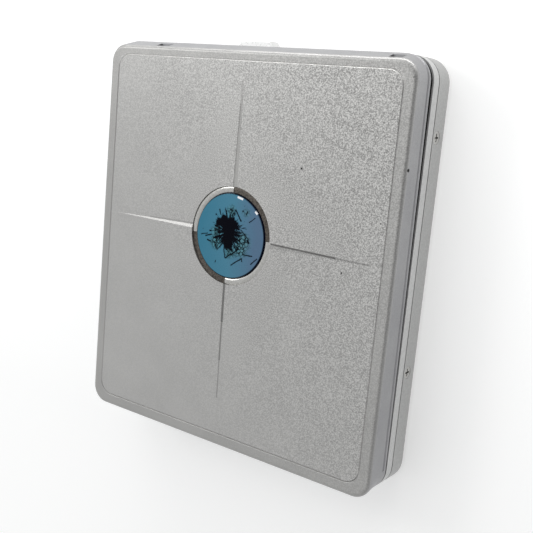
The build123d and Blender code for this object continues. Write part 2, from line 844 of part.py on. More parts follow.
with BuildPart() as guide_rod_pair:
    for y in (rod_y_main, rod_y_second):
        along_x(
            inner_bracket_x - 0.3, outer_bracket_x + bracket_thickness, y, rod_height, rod_radius
        )
guide_rod_pair.part.label = "guide_rods"
export_step(guide_rod_pair.part, "parts/guide_rods.step")

# pickup casting: a round bush on the main rod, a fork on the second one
sled_bottom = rod_height - 1.3
sled_top = rod_height + 1.3
arm_half_x = 1.8
arm_x = sled_x + sled_length / 2
with BuildPart() as pickup_block:
    with BuildSketch(Plane.XY.offset(sled_bottom)) as casting:
        with BuildLine():
            Polyline(
                (sled_x, spindle_y - 3.6),
                (sled_x + 1.2, spindle_y - 4.8),
                (sled_x + sled_length - 1.2, spindle_y - 4.8),
                (sled_x + sled_length, spindle_y - 3.6),
                (sled_x + sled_length, spindle_y + 5.0),
                (sled_x + sled_length - 1.2, spindle_y + 6.2),
                (sled_x + 1.2, spindle_y + 6.2),
                (sled_x, spindle_y + 5.0),
                close=True,
            )
        make_face()
    extrude(casting.sketch, amount=sled_top - sled_bottom)
    block(
        arm_x - arm_half_x, arm_x + arm_half_x, rod_y_second - 1.3, rod_y_main + 1.5,
        sled_bottom, sled_top,
    )
    along_x(sled_x, sled_x + sled_length, rod_y_main, rod_height, 1.3)
    along_x(
        sled_x - 1, sled_x + sled_length + 1, rod_y_main, rod_height,
        rod_radius + running_clearance, Mode.SUBTRACT,
    )
    fork_half = rod_radius + running_clearance
    block(
        arm_x - arm_half_x - 1, arm_x + arm_half_x + 1, rod_y_second - 2,
        rod_y_second + fork_half, rod_height - fork_half, rod_height + fork_half,
        mode=Mode.SUBTRACT,
    )
pickup_block.part.label = "pickup_block"
export_step(pickup_block.part, "parts/pickup_block.step")

# moulded carrier round the lens, with its two coil slots
lens_holder_half = 2.2
lens_seat = lip_bottom - 0.4
with BuildPart() as lens_holder:
    with BuildSketch(Plane.XY.offset(sled_top)) as holder_outline:
        with Locations((lens_x, spindle_y)):
            RectangleRounded(2 * lens_holder_half, 2 * lens_holder_half + 1.4, 0.5)
    extrude(holder_outline.sketch, amount=lens_seat - sled_top)
    chamfer(lens_holder.faces().sort_by(Axis.Z)[-1].edges(), length=0.2)
    upright(lens_x, spindle_y, lens_seat - 0.25, lens_seat + 1, lens_radius, Mode.SUBTRACT)
    for side in (-1, 1):
        block(
            lens_x - 1.4, lens_x + 1.4, spindle_y + side * 2.1, spindle_y + side * 2.6,
            lens_seat - 0.5, lens_seat + 1, mode=Mode.SUBTRACT,
        )
lens_holder.part.label = "lens_holder"
export_step(lens_holder.part, "parts/lens_holder.step")

# plano-convex objective
dome_radius = 1.2
dome_rise = 0.25
dome_curve = (dome_radius**2 + dome_rise**2) / (2 * dome_rise)
with BuildPart() as objective_lens:
    with BuildSketch(Plane.XZ.offset(-spindle_y)) as lens_profile:
        with BuildLine():
            Line((lens_x, lens_seat - 0.25), (lens_x + lens_radius, lens_seat - 0.25))
            Line((lens_x + lens_radius, lens_seat - 0.25), (lens_x + lens_radius, lens_seat))
            Line((lens_x + lens_radius, lens_seat), (lens_x + dome_radius, lens_seat))
            RadiusArc(
                (lens_x + dome_radius, lens_seat), (lens_x, lens_seat + dome_rise),
                -dome_curve,
            )
            Line((lens_x, lens_seat + dome_rise), (lens_x, lens_seat - 0.25))
        make_face()
    revolve(lens_profile.sketch, axis=Axis((lens_x, spindle_y, 0), (0, 0, 1)))
objective_lens.part.label = "objective_lens"
export_step(objective_lens.part, "parts/objective_lens.step")

# nut arm that rides on the lead screw
with BuildPart() as screw_nut:
    block(
        arm_x - 1.5, arm_x + 1.5, rod_y_main + 1.5, screw_y + 1.5, sled_bottom + 0.1,
        sled_top - 0.1,
    )
    fillet(screw_nut.edges().filter_by(Axis.X).group_by(Axis.Y)[-1], radius=0.8)
    along_x(
        arm_x - 2, arm_x + 2, screw_y, rod_height, screw_radius + running_clearance,
        Mode.SUBTRACT,
    )
screw_nut.part.label = "screw_nut"
export_step(screw_nut.part, "parts/screw_nut.step")

# lead screw: plain journals, and a thread drawn as even grooves
thread_pitch = 1.2
thread_start = inner_bracket_x + bracket_thickness + 0.6
thread_count = int((outer_bracket_x - 0.4 - thread_start) / thread_pitch)
gear_x = inner_bracket_x - 1.9
gear_width = 1.2
with BuildPart() as lead_screw:
    along_x(
        gear_x - 0.3, outer_bracket_x + bracket_thickness, screw_y, rod_height, screw_radius
    )
    with BuildSketch(Plane.XY.offset(rod_height)) as thread_groove:
        for turn in range(thread_count):
            with Locations(
                (thread_start + thread_pitch * (turn + 0.5), screw_y + screw_radius)
            ):
                Trapezoid(0.6, 0.25, 60, rotation=180)
    revolve(
        thread_groove.sketch, axis=Axis((0, screw_y, rod_height), (1, 0, 0)),
        mode=Mode.SUBTRACT,
    )
lead_screw.part.label = "lead_screw"
export_step(lead_screw.part, "parts/lead_screw.step")

# the motor sits a little lower than the screw, so its pinion is in mesh from the side
gear_spacing = gear_module * (screw_gear_teeth + pinion_teeth) / 2 + 0.03
pinion_drop = 0.5
pinion_y = screw_y + math.sqrt(gear_spacing**2 - pinion_drop**2)
pinion_z = rod_height - pinion_drop
mesh_angle = math.degrees(math.atan2(-pinion_drop, pinion_y - screw_y))
with BuildPart() as screw_gear:
    spur_gear(gear_x, gear_width, screw_y, rod_height, screw_gear_teeth, mesh_angle)
    along_x(
        gear_x - 1, gear_x + gear_width + 1, screw_y, rod_height, screw_radius, Mode.SUBTRACT
    )
screw_gear.part.label = "screw_gear"
export_step(screw_gear.part, "parts/screw_gear.step")

motor_length = 14.0
motor_radius = 2.1
motor_face_x = gear_x - 1.3
motor_plate_x = 0.5
with BuildPart() as motor_pinion:
    spur_gear(
        gear_x - 0.1, gear_width + 0.2, pinion_y, pinion_z, pinion_teeth,
        mesh_angle + 180 + 180 / pinion_teeth,
    )
    along_x(
        motor_face_x + 0.1, gear_x + gear_width + 0.3, pinion_y, pinion_z, 0.35
    )
motor_pinion.part.label = "motor_pinion"
export_step(motor_pinion.part, "parts/motor_pinion.step")

with BuildPart() as sled_motor:
    along_x(motor_face_x - motor_length, motor_face_x, pinion_y, pinion_z, motor_radius)
    end_rims = sled_motor.edges().filter_by(GeomType.CIRCLE)
    fillet(end_rims, radius=0.3)
    along_x(
        motor_face_x - motor_length - 0.5, motor_face_x - motor_length, pinion_y, pinion_z, 0.8
    )
sled_motor.part.label = "sled_motor"
export_step(sled_motor.part, "parts/sled_motor.step")

# plate that hangs the motor from the deck
with BuildPart() as motor_bracket:
    with BuildSketch(Plane.YZ.offset(motor_face_x)) as bracket_face:
        with Locations((pinion_y, (pinion_z - motor_radius + deck_bottom) / 2)):
            RectangleRounded(
                2 * motor_radius + 0.6, deck_bottom - pinion_z + motor_radius, 0.8
            )
        with Locations((pinion_y, pinion_z)):
            Circle(0.35 + 2 * running_clearance, mode=Mode.SUBTRACT)
    extrude(bracket_face.sketch, amount=motor_plate_x)
    block(
        motor_face_x - 2.0, motor_face_x + motor_plate_x, pinion_y - 1.6, pinion_y + 1.6,
        deck_bottom - 0.25, deck_bottom,
    )
motor_bracket.part.label = "motor_bracket"
export_step(motor_bracket.part, "parts/motor_bracket.step")

# ---- electronics --------------------------------------------------------------------------
sheet_top = shell_floor + 0.3
board_top = sheet_top + 0.5
board_left = -inner_width + 1.3
board_right = inner_width - 1.3
board_front = inner_length - 2.8
board_rear = deck_rear_y + 0.6
board_inner_x = -motor_base_radius - 3.2
board_step_y = spindle_y + 18.4


def board_outline(z, grow=0.0):
    """The L-shaped board round the motor, with room for the deck's posts."""
    with BuildSketch(Plane.XY.offset(z)) as outline:
        with BuildLine():
            Polyline(
                (board_left - grow, board_rear),
                (board_inner_x + grow, board_rear),
                (board_inner_x + grow, board_step_y - 4 - grow),
                (board_inner_x + 4, board_step_y - grow),
                (board_right + grow, board_step_y - grow),
                (board_right + grow, board_front + grow),
                (board_left - grow, board_front + grow),
                close=True,
            )
        make_face()
        with Locations(*post_places):
            Circle(post_radius + 0.3, mode=Mode.SUBTRACT)
    return outline.sketch


with BuildPart() as insulating_sheet:
    extrude(board_outline(shell_floor, 0.2), amount=sheet_top - shell_floor)
insulating_sheet.part.label = "insulating_sheet"
export_step(insulating_sheet.part, "parts/insulating_sheet.step")

with BuildPart() as circuit_board:
    extrude(board_outline(sheet_top), amount=board_top - sheet_top)
circuit_board.part.label = "circuit_board"
export_step(circuit_board.part, "parts/circuit_board.step")

# square and oblong packages soldered to the board
chips = [
    (-22.0, 9.0, 9.0, 9.0, 1.2),
    (-22.0, -5.0, 7.0, 10.0, 1.0),
    (-12.0, 30.0, 8.0, 8.0, 1.1),
    (4.0, 30.0, 6.0, 9.0, 1.0),
    (16.0, 28.0, 5.0, 4.0, 0.9),
    (24.0, 27.0, 3.0, 5.0, 1.6),
]
with BuildPart() as circuit_chip_set:
    for x, y, length, width, height in chips:
        block(
            x - length / 2, x + length / 2, y - width / 2, y + width / 2, board_top,
            board_top + height,
        )
    top_faces = circuit_chip_set.faces().filter_by(Axis.Z).filter_by(
        lambda face: face.center().Z > board_top + 0.1
    )
    chamfer(top_faces.edges(), length=0.15)
circuit_chip_set.part.label = "circuit_chips"
export_step(circuit_chip_set.part, "parts/circuit_chips.step")

# headphone socket: a moulded body with a round nose that shows in the left side
jack_body_start = -half_width + band_wall + 0.3
with BuildPart() as jack_socket:
    block(
        jack_body_start, -half_width + jack_depth + 0.8, jack_y - 2.8, jack_y + 2.8,
        board_top, deck_bottom - 0.15,
    )
    fillet(jack_socket.edges().filter_by(Axis.X), radius=0.5)
    along_x(
        -half_width, jack_body_start, jack_y, jack_z, jack_nose_radius - running_clearance
    )
    along_x(
        -half_width - 1, -half_width + jack_depth, jack_y, jack_z, jack_radius, Mode.SUBTRACT
    )
jack_socket.part.label = "jack_socket"
export_step(jack_socket.part, "parts/jack_socket.step")

# upright strip behind the buttons, with one tact switch each
strip_x = -inner_width + 2.3
switch_face = -inner_width + wall_gap + 0.7 + button_travel + 0.1
with BuildPart() as button_board:
    block(
        strip_x, strip_x + 0.3, button_ys[0] - 2.4, button_ys[-1] + 2.4, board_top,
        button_z + 1.6,
    )
button_board.part.label = "button_board"
export_step(button_board.part, "parts/button_board.step")

with BuildPart() as button_switch_set:
    for button_y in button_ys:
        block(
            switch_face + 0.3, strip_x, button_y - 1.5, button_y + 1.5, button_z - 1.1,
            button_z + 1.1,
        )
        along_x(switch_face, switch_face + 0.3, button_y, button_z, 0.8)
button_switch_set.part.label = "button_switches"
export_step(button_switch_set.part, "parts/button_switches.step")

with BuildPart() as hold_switch:
    block(
        -inner_width + 0.9, strip_x + 0.3, hold_y - 1.9, hold_y + hold_travel + 1.9,
        board_top, button_z + 1.3,
    )
hold_switch.part.label = "hold_switch"
export_step(hold_switch.part, "parts/hold_switch.step")

# ---- controls -----------------------------------------------------------------------------
button_names = [
    "volume_down_button",
    "volume_up_button",
    "skip_back_button",
    "play_button",
    "skip_forward_button",
]
for button_name, button_y in zip(button_names, button_ys):
    with BuildPart() as side_button:
        with BuildSketch(Plane.YZ.offset(-half_width - button_proud)) as cap_outline:
            with Locations((button_y, button_z)):
                SlotOverall(button_length, button_height)
        extrude(cap_outline.sketch, amount=button_proud + shell_wall + wall_gap)
        cap_face = side_button.faces().sort_by(Axis.X)[0]
        fillet(cap_face.edges(), radius=0.25)
        with BuildSketch(Plane.YZ.offset(-inner_width + wall_gap)) as flange_outline:
            with Locations((button_y, button_z)):
                SlotOverall(button_length + 0.6, button_height + 0.5)
        extrude(flange_outline.sketch, amount=0.4)
        along_x(
            -inner_width + wall_gap + 0.4, -inner_width + wall_gap + 0.7, button_y, button_z,
            0.6,
        )
    side_button.part.label = button_name
    export_step(side_button.part, f"parts/{button_name}.step")

# ribbed slide that locks the buttons
with BuildPart() as hold_knob:
    with BuildSketch(Plane.YZ.offset(-half_width - hold_proud)) as hold_cap:
        with Locations((hold_y, button_z)):
            RectangleRounded(2.6, 1.8, 0.3)
    extrude(hold_cap.sketch, amount=hold_proud - running_clearance)
    for rib in (-0.8, 0.0, 0.8):
        block(
            -half_width - hold_proud - 1, -half_width - hold_proud + 0.2,
            hold_y + rib - 0.15, hold_y + rib + 0.15, 0, shell_height, mode=Mode.SUBTRACT,
        )
    with BuildSketch(Plane.YZ.offset(-half_width - running_clearance)) as hold_stem:
        with Locations((hold_y, button_z)):
            SlotOverall(2.8, 1.2)
    extrude(hold_stem.sketch, amount=shell_wall + running_clearance + wall_gap)
    block(
        -inner_width + wall_gap, -inner_width + 0.6, hold_y - 1.6, hold_y + 1.6,
        button_z - 1.1, button_z + 1.1,
    )
hold_knob.part.label = "hold_knob"
export_step(hold_knob.part, "parts/hold_knob.step")

# opening knob: a low arched slide with sloping ends
with BuildPart() as open_knob:
    with BuildSketch(Plane.XY.offset(knob_z - knob_height / 2)) as knob_profile:
        with BuildLine():
            foot = half_length + running_clearance
            crest = half_length + knob_proud
            Line((knob_x - knob_width / 2, foot), (knob_x + knob_width / 2, foot))
            Line((knob_x + knob_width / 2, foot), (knob_x + knob_width / 2 - 1.0, crest - 0.2))
            ThreePointArc(
                (knob_x + knob_width / 2 - 1.0, crest - 0.2),
                (knob_x, crest),
                (knob_x - knob_width / 2 + 1.0, crest - 0.2),
            )
            Line((knob_x - knob_width / 2 + 1.0, crest - 0.2), (knob_x - knob_width / 2, foot))
        make_face()
    extrude(knob_profile.sketch, amount=knob_height)
    outer_edges = open_knob.edges().filter_by(
        lambda edge: edge.center().Y > half_length + knob_proud - 0.35
    )
    fillet(outer_edges.group_by(Axis.Z)[0] + outer_edges.group_by(Axis.Z)[-1], radius=0.3)
    block(
        knob_x - knob_stem_half, knob_x + knob_stem_half, inner_length - 0.9,
        half_length + running_clearance, knob_z - 0.7, knob_z + 0.7,
    )
open_knob.part.label = "open_knob"
export_step(open_knob.part, "parts/open_knob.step")

# sliding bar with two hooks that hold the lid's catches
bar_front = inner_length - 0.9
bar_back = bar_front - 0.6
with BuildPart() as latch_bar:
    block(
        -catch_x - 0.5, catch_x + catch_half + 2.3, bar_back, bar_front,
        knob_z - 1.4, hook_bottom,
    )
    for place in (-catch_x, catch_x):
        hook_x0 = place + catch_half + 0.3
        with BuildSketch(Plane.XY.offset(hook_bottom)) as hook_outline:
            with BuildLine():
                Polyline(
                    (hook_x0 + 0.4, bar_back),
                    (hook_x0 + 2.0, bar_back),
                    (hook_x0 + 2.0, inner_length - 0.1),
                    (hook_x0, inner_length - 0.1),
                    (hook_x0, inner_length - 0.45),
                    (hook_x0 + 0.4, inner_length - 0.6),
                    close=True,
                )
            make_face()
        extrude(hook_outline.sketch, amount=hook_thickness)
latch_bar.part.label = "latch_bar"
export_step(latch_bar.part, "parts/latch_bar.step")

# ---- disc holder --------------------------------------------------------------------------
# folded steel roof with press tongues, a rear stop and the two arms to the hinge
tongue_x = rail_outer - tongue_inset
tongue_front_y = holder_front_y - 16.4
tongue_rear_y = slot_rear_y + 17.8
tongue_places = [
    (-tongue_x, tongue_front_y),
    (tongue_x, tongue_front_y),
    (-tongue_x, tongue_rear_y),
    (tongue_x, tongue_rear_y),
]
with BuildPart() as holder_roof:
    with BuildSketch(Plane.XY.offset(slot_top)) as roof_outline:
        roof_middle = (holder_front_y + slot_rear_y - stop_thickness) / 2
        roof_length = holder_front_y - slot_rear_y + stop_thickness
        with Locations((0, roof_middle)):
            RectangleRounded(2 * rail_outer, roof_length, roof_corner)
        with Locations((0, spindle_y)):
            Circle(13.0, mode=Mode.SUBTRACT)
        # finger bay at the mouth, to pull the cartridge out
        with Locations((0, holder_front_y)):
            SlotOverall(26, 12, mode=Mode.SUBTRACT)
        for x, y in tongue_places:
            with Locations((x, y)):
                Rectangle(6.0, 13.0, mode=Mode.SUBTRACT)
            with Locations((x, y + 0.8)):
                Rectangle(4.4, 12.0)
    extrude(roof_outline.sketch, amount=holder_sheet)
    block(
        -rail_outer + roof_corner, rail_outer - roof_corner, slot_rear_y - stop_thickness,
        slot_rear_y, slot_bottom, slot_top,
    )
    holder_ear_x = frame_ear_x - ear_gap - ear_thickness
    for side in (-1, 1):
        ear_x0 = holder_ear_x if side > 0 else -holder_ear_x - ear_thickness
        with BuildSketch(Plane.YZ.offset(ear_x0)) as arm_outline:
            with Locations((hinge_y, hinge_z)):
                Circle(ear_radius)
            with BuildLine():
                Polyline(
                    (hinge_y, hinge_z - ear_radius),
                    (slot_rear_y, hinge_z - ear_radius),
                    (slot_rear_y, hinge_z + 2.2),
                    (slot_rear_y - 1.5, hinge_z + 2.2),
                    (hinge_y, hinge_z + ear_radius),
                    close=True,
                )
            make_face()
            with Locations((hinge_y, hinge_z)):
                Circle(hinge_pin_radius + running_clearance, mode=Mode.SUBTRACT)
        extrude(arm_outline.sketch, amount=ear_thickness)
    # low swage round the disc window
    with BuildSketch(Plane.XY.offset(slot_top + holder_sheet)) as swage:
        with Locations((0, spindle_y)):
            Circle(14.2)
            Circle(13.6, mode=Mode.SUBTRACT)
    extrude(swage.sketch, amount=0.1)
holder_roof.part.label = "holder_roof"
export_step(holder_roof.part, "parts/holder_roof.step")

# channel rails that the cartridge slides in; the mouth's lip is flared
rail_front_y = holder_front_y - 1.2
for rail_name, side in (("holder_rail_left", -1), ("holder_rail_right", 1)):
    with BuildPart() as holder_rail:
        with BuildSketch(Plane.XZ.offset(-rail_front_y)) as rail_section:
            with BuildLine():
                Polyline(
                    (side * rail_outer, slot_top),
                    (side * rail_inner, slot_top),
                    (side * rail_inner, slot_bottom),
                    (side * (rail_outer - holder_lip), slot_bottom),
                    (side * (rail_outer - holder_lip), lip_bottom),
                    (side * rail_outer, lip_bottom),
                    close=True,
                )
            make_face()
        extrude(rail_section.sketch, amount=rail_front_y - slot_rear_y)
        mouth_edge = (
            holder_rail.edges()
            .filter_by(Axis.X)
            .filter_by(lambda edge: abs(edge.center().Z - slot_bottom) < 0.01)
            .sort_by(Axis.Y)[-1]
        )
        chamfer(mouth_edge, length=0.2)
        # windows that lighten the wall
        for window_y in (-20.0, 2.0, 24.0):
            with BuildSketch(Plane.YZ) as rail_window:
                with Locations((window_y, (slot_bottom + slot_top) / 2)):
                    SlotOverall(9.0, 2.2)
            extrude(
                rail_window.sketch, amount=side * (half_width + 1), mode=Mode.SUBTRACT
            )
    holder_rail.part.label = rail_name
    export_step(holder_rail.part, f"parts/{rail_name}.step")

# ---- lid ----------------------------------------------------------------------------------
with BuildPart() as lid_cover:
    extrude(case_outline(skirt_rear_z), amount=draft_start_z - skirt_rear_z)
    loft(sections=[lid_outline(draft_start_z), lid_outline(face_z)], ruled=True)
    fillet(lid_cover.faces().sort_by(Axis.Z)[-1].edges(), radius=face_edge_radius)
    # pinwheel: four sheets, each high along its own arm and low along the next one
    for quarter in range(4):
        angle = math.radians(90 * quarter)
        along = Vector(math.cos(angle), math.sin(angle), 0)
        across = Vector(-math.sin(angle), math.cos(angle), 0)
        centre = Vector(jewel_x, jewel_y, face_z) - across * arm_shift
        high_plane = Plane(centre, x_dir=along, z_dir=along.cross(Vector(0, 0, 1)))
        low_plane = Plane(
            centre - along * arm_shift, x_dir=across, z_dir=across.cross(Vector(0, 0, 1))
        )
        with BuildSketch(high_plane) as high_section:
            with BuildLine():
                Polyline(
                    (2.0, -0.3), (arm_reach, -0.3), (arm_reach, 0.005), (2.0, arm_rise),
                    close=True,
                )
            make_face()
        with BuildSketch(low_plane) as low_section:
            with BuildLine():
                Polyline(
                    (2.0, -0.3), (arm_reach, -0.3), (arm_reach, 0.005), (2.0, 0.01),
                    close=True,
                )
            make_face()
        loft(sections=[high_section.sketch, low_section.sketch], ruled=True)
        # the step along the arm is a slope that narrows as it falls
        with BuildSketch(
            Plane(Vector(jewel_x, jewel_y, face_z) + along * 2.0, x_dir=across, z_dir=along)
        ) as slope_start:
            with BuildLine():
                Polyline(
                    (-arm_shift, -0.3), (-arm_shift, arm_rise), (-arm_shift - arm_slope, 0),
                    (-arm_shift - arm_slope, -0.3), close=True,
                )
            make_face()
        with BuildSketch(
            Plane(
                Vector(jewel_x, jewel_y, face_z) + along * arm_reach, x_dir=across, z_dir=along
            )
        ) as slope_end:
            with BuildLine():
                Polyline(
                    (-arm_shift, -0.3), (-arm_shift, 0.005), (-arm_shift - 0.05, 0),
                    (-arm_shift - 0.05, -0.3), close=True,
                )
            make_face()
        loft(sections=[slope_start.sketch, slope_end.sketch], ruled=True)
    # hollow it, and cut the skirt's lower edge so that the gap widens towards the front
    extrude(
        case_outline(skirt_rear_z, lid_wall), amount=draft_start_z - skirt_rear_z,
        mode=Mode.SUBTRACT,
    )
    loft(
        sections=[lid_outline(draft_start_z, lid_wall), lid_outline(plate_bottom, lid_wall)],
        ruled=True, mode=Mode.SUBTRACT,
    )
    with BuildSketch(Plane.YZ.offset(-half_width - 1)) as skirt_wedge:
        with BuildLine():
            Polyline(
                (-half_length, skirt_rear_z),
                (half_length + 1, skirt_front_z),
                (half_length + 1, skirt_rear_z - 1),
                (-half_length, skirt_rear_z - 1),
                close=True,
            )
        make_face()
    extrude(skirt_wedge.sketch, amount=case_width + 2, mode=Mode.SUBTRACT)
    # the rear lower edge is round about the hinge axis
    with BuildSketch(Plane.YZ.offset(-half_width - 1)) as rear_round:
        with Locations((hinge_y - hinge_radius, hinge_z - hinge_radius)):
            Rectangle(2 * hinge_radius, 2 * hinge_radius)
        with Locations((hinge_y, hinge_z)):
            Circle(hinge_radius, mode=Mode.SUBTRACT)
    extrude(rear_round.sketch, amount=case_width + 2, mode=Mode.SUBTRACT)
    # the frame's ears pass through notches in the rear wall as the lid turns
    for side in (-1, 1):
        block(
            side * (frame_ear_x - notch_gap),
            side * (frame_ear_x + frame_ear_thickness + notch_gap), -half_length - 1,
            -half_length + lid_wall + 1, 0, hinge_z + 0.5, mode=Mode.SUBTRACT,
        )
    # seat of the jewel and its ring
    upright(jewel_x, jewel_y, plate_bottom - 1, face_z + 1, ring_radius, Mode.SUBTRACT)
    # fine V-shaped border line round the face
    with BuildSketch(Plane.XY.offset(face_z)) as border_top:
        with Locations((0, (border_inset - border_front_inset) / 2)):
            RectangleRounded(
                case_width - 2 * border_inset,
                case_length - border_inset - border_front_inset, border_radius,
            )
    border_path = border_top.sketch.faces()[0].outer_wire()
    border_x = half_width - border_inset
    with BuildSketch(Plane.XZ) as border_section:
        with BuildLine():
            Polyline(
                (border_x - border_width / 2, face_z + 0.01),
                (border_x + border_width / 2, face_z + 0.01),
                (border_x, face_z - border_depth),
                close=True,
            )
        make_face()
    sweep(border_section.sketch, path=border_path, mode=Mode.SUBTRACT)
    add(lip_groove_form(), mode=Mode.SUBTRACT)
    # slots in the front wall that the liner's tabs hook into
    for x, width in tab_slots:
        block(
            x - width / 2, x + width / 2, half_length - lid_wall - 1, half_length + 1,
            plate_bottom - slot_drop, plate_bottom, mode=Mode.SUBTRACT,
        )
lid_cover.part.label = "lid_cover"
export_step(lid_cover.part, "parts/lid_cover.step")

# thin steel liner with two front tabs
plate_lean = lid_front_draft * (plate_bottom - draft_start_z) / (face_z - draft_start_z)
liner_front_y = half_length - plate_lean - lid_wall + 0.1
liner_slot_x = half_width - liner_slot_side_inset
liner_slot_rear_y = -half_length + liner_slot_rear_inset
liner_slot_front_y = half_length - liner_slot_front_inset
with BuildPart() as lid_liner:
    with BuildSketch(Plane.XY.offset(liner_bottom)) as liner_outline:
        add(lid_outline(plate_bottom, lid_wall + 0.1).moved(Location((0, 0, -plate_bottom))))
        for x, width in tab_slots:
            with Locations((x, liner_front_y)):
                Rectangle(width - 0.4, lid_wall)
        with Locations(
            (-liner_slot_x, liner_slot_rear_y), (liner_slot_x, liner_slot_rear_y),
            (-liner_slot_x, liner_slot_front_y), (liner_slot_x, liner_slot_front_y),
        ):
            SlotOverall(liner_slot_length, 3, mode=Mode.SUBTRACT)
    extrude(liner_outline.sketch, amount=liner_thickness)
lid_liner.part.label = "lid_liner"
export_step(lid_liner.part, "parts/lid_liner.step")

# brackets under the liner that carry the lid's ears
lid_ear_x = frame_ear_x + frame_ear_thickness + ear_gap
bracket_sheet = 0.4
with BuildPart() as lid_hinge_bracket_pair:
    for side in (-1, 1):
        ear_x0 = lid_ear_x if side > 0 else -lid_ear_x - ear_thickness
        hinge_ear(
            ear_x0, ear_x0 + ear_thickness, hinge_y - ear_radius, hinge_y + 2.4,
            liner_bottom - bracket_sheet,
        )
        along_x(
            ear_x0 - 1, ear_x0 + ear_thickness + 1, hinge_y, hinge_z,
            hinge_pin_radius + running_clearance, Mode.SUBTRACT,
        )
        block(
            side * (lid_ear_x - 2.6), side * (lid_ear_x + ear_thickness + 1.6),
            hinge_y - 0.4, hinge_y + 2.9, liner_bottom - bracket_sheet, liner_bottom,
        )
lid_hinge_bracket_pair.part.label = "lid_hinge_brackets"
export_step(lid_hinge_bracket_pair.part, "parts/lid_hinge_brackets.step")

# small screws that hold the brackets
with BuildPart() as lid_screw_set:
    for side in (-1, 1):
        for place in (lid_ear_x - 1.6, lid_ear_x + ear_thickness + 0.75):
            upright(
                side * place, hinge_y + 1.4, liner_bottom - bracket_sheet - 0.35,
                liner_bottom - bracket_sheet, 0.65,
            )
lid_screw_set.part.label = "lid_screws"
export_step(lid_screw_set.part, "parts/lid_screws.step")

# catches that reach down into the waist band
with BuildPart() as lid_catch_pair:
    for x in (-catch_x, catch_x):
        block(
            x - catch_half, x + 0.1, catch_y0, catch_y1, catch_bottom, draft_start_z - 0.1,
        )
        block(
            x + 0.1, x + catch_half, catch_y0, catch_y1, catch_bottom,
            catch_bottom + catch_toe,
        )
lid_catch_pair.part.label = "lid_catches"
export_step(lid_catch_pair.part, "parts/lid_catches.step")

# blue jewel: a low drum with a slightly crowned top
jewel_top = face_z + jewel_height
jewel_rim = 0.2
rim_z = jewel_top - jewel_crown
crown_chord = jewel_radius - jewel_rim
crown_curve = (crown_chord**2 + jewel_crown**2) / (2 * jewel_crown)
with BuildPart() as jewel:
    with BuildSketch(Plane.XZ.offset(-jewel_y)) as jewel_profile:
        with BuildLine():
            Line((jewel_x, plate_bottom), (jewel_x + jewel_radius, plate_bottom))
            Line(
                (jewel_x + jewel_radius, plate_bottom),
                (jewel_x + jewel_radius, rim_z - jewel_rim),
            )
            RadiusArc(
                (jewel_x + jewel_radius, rim_z - jewel_rim),
                (jewel_x + jewel_radius - jewel_rim, rim_z), -jewel_rim,
            )
            RadiusArc(
                (jewel_x + jewel_radius - jewel_rim, rim_z), (jewel_x, jewel_top),
                -crown_curve,
            )
            Line((jewel_x, jewel_top), (jewel_x, plate_bottom))
        make_face()
    revolve(jewel_profile.sketch, axis=Axis((jewel_x, jewel_y, 0), (0, 0, 1)))
jewel.part.label = "jewel"
export_step(jewel.part, "parts/jewel.step")

# ring round the jewel: four sloping quadrants, two polished and two dark
slit_turn = math.degrees(ring_slit / ring_radius)
for ring_name, first_quarter in (("jewel_ring_bright", 1), ("jewel_ring_dark", 0)):
    with BuildPart() as jewel_ring:
        for quarter in (first_quarter, first_quarter + 2):
            with BuildSketch(Plane.XZ.offset(-jewel_y)) as ring_section:
                with BuildLine():
                    Polyline(
                        (jewel_x + jewel_radius + 0.05, plate_bottom),
                        (jewel_x + ring_radius - 0.03, plate_bottom),
                        (jewel_x + ring_radius - 0.03, face_z - 0.1),
                        (jewel_x + jewel_radius + 0.05, plate_bottom + 0.2),
                        close=True,
                    )
                make_face()
            revolve(
                ring_section.sketch.rotate(
                    Axis((jewel_x, jewel_y, 0), (0, 0, 1)), 90 * quarter + slit_turn / 2
                ),
                axis=Axis((jewel_x, jewel_y, 0), (0, 0, 1)),
                revolution_arc=90 - slit_turn,
            )
    jewel_ring.part.label = ring_name
    export_step(jewel_ring.part, f"parts/{ring_name}.step")
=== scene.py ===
# Pocket minidisc player: camera, light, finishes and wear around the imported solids
import bpy
import bmesh
import math
from mathutils import Euler, Matrix, Vector


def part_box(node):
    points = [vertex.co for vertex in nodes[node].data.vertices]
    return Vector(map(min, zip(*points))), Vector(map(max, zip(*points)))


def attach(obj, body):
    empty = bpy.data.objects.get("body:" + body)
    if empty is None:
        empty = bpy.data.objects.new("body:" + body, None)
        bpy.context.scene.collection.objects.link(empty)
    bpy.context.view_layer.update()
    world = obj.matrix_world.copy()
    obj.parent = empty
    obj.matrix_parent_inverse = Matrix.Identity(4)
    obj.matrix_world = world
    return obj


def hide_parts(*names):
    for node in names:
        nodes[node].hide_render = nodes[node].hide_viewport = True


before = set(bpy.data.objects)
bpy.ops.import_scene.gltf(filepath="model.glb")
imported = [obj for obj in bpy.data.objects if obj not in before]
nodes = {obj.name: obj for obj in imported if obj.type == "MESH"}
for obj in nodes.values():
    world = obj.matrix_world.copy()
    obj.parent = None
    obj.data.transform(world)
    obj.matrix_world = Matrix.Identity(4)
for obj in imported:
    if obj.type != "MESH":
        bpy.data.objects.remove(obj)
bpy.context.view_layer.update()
mm = 0.001
print("solids loaded:", len(nodes))


def toLinear(hexColour):
    parts = [int(hexColour[i:i + 2], 16) / 255 for i in (1, 3, 5)]
    return tuple(c / 12.92 if c <= 0.04045 else ((c + 0.055) / 1.055) ** 2.4 for c in parts) + (1.0,)


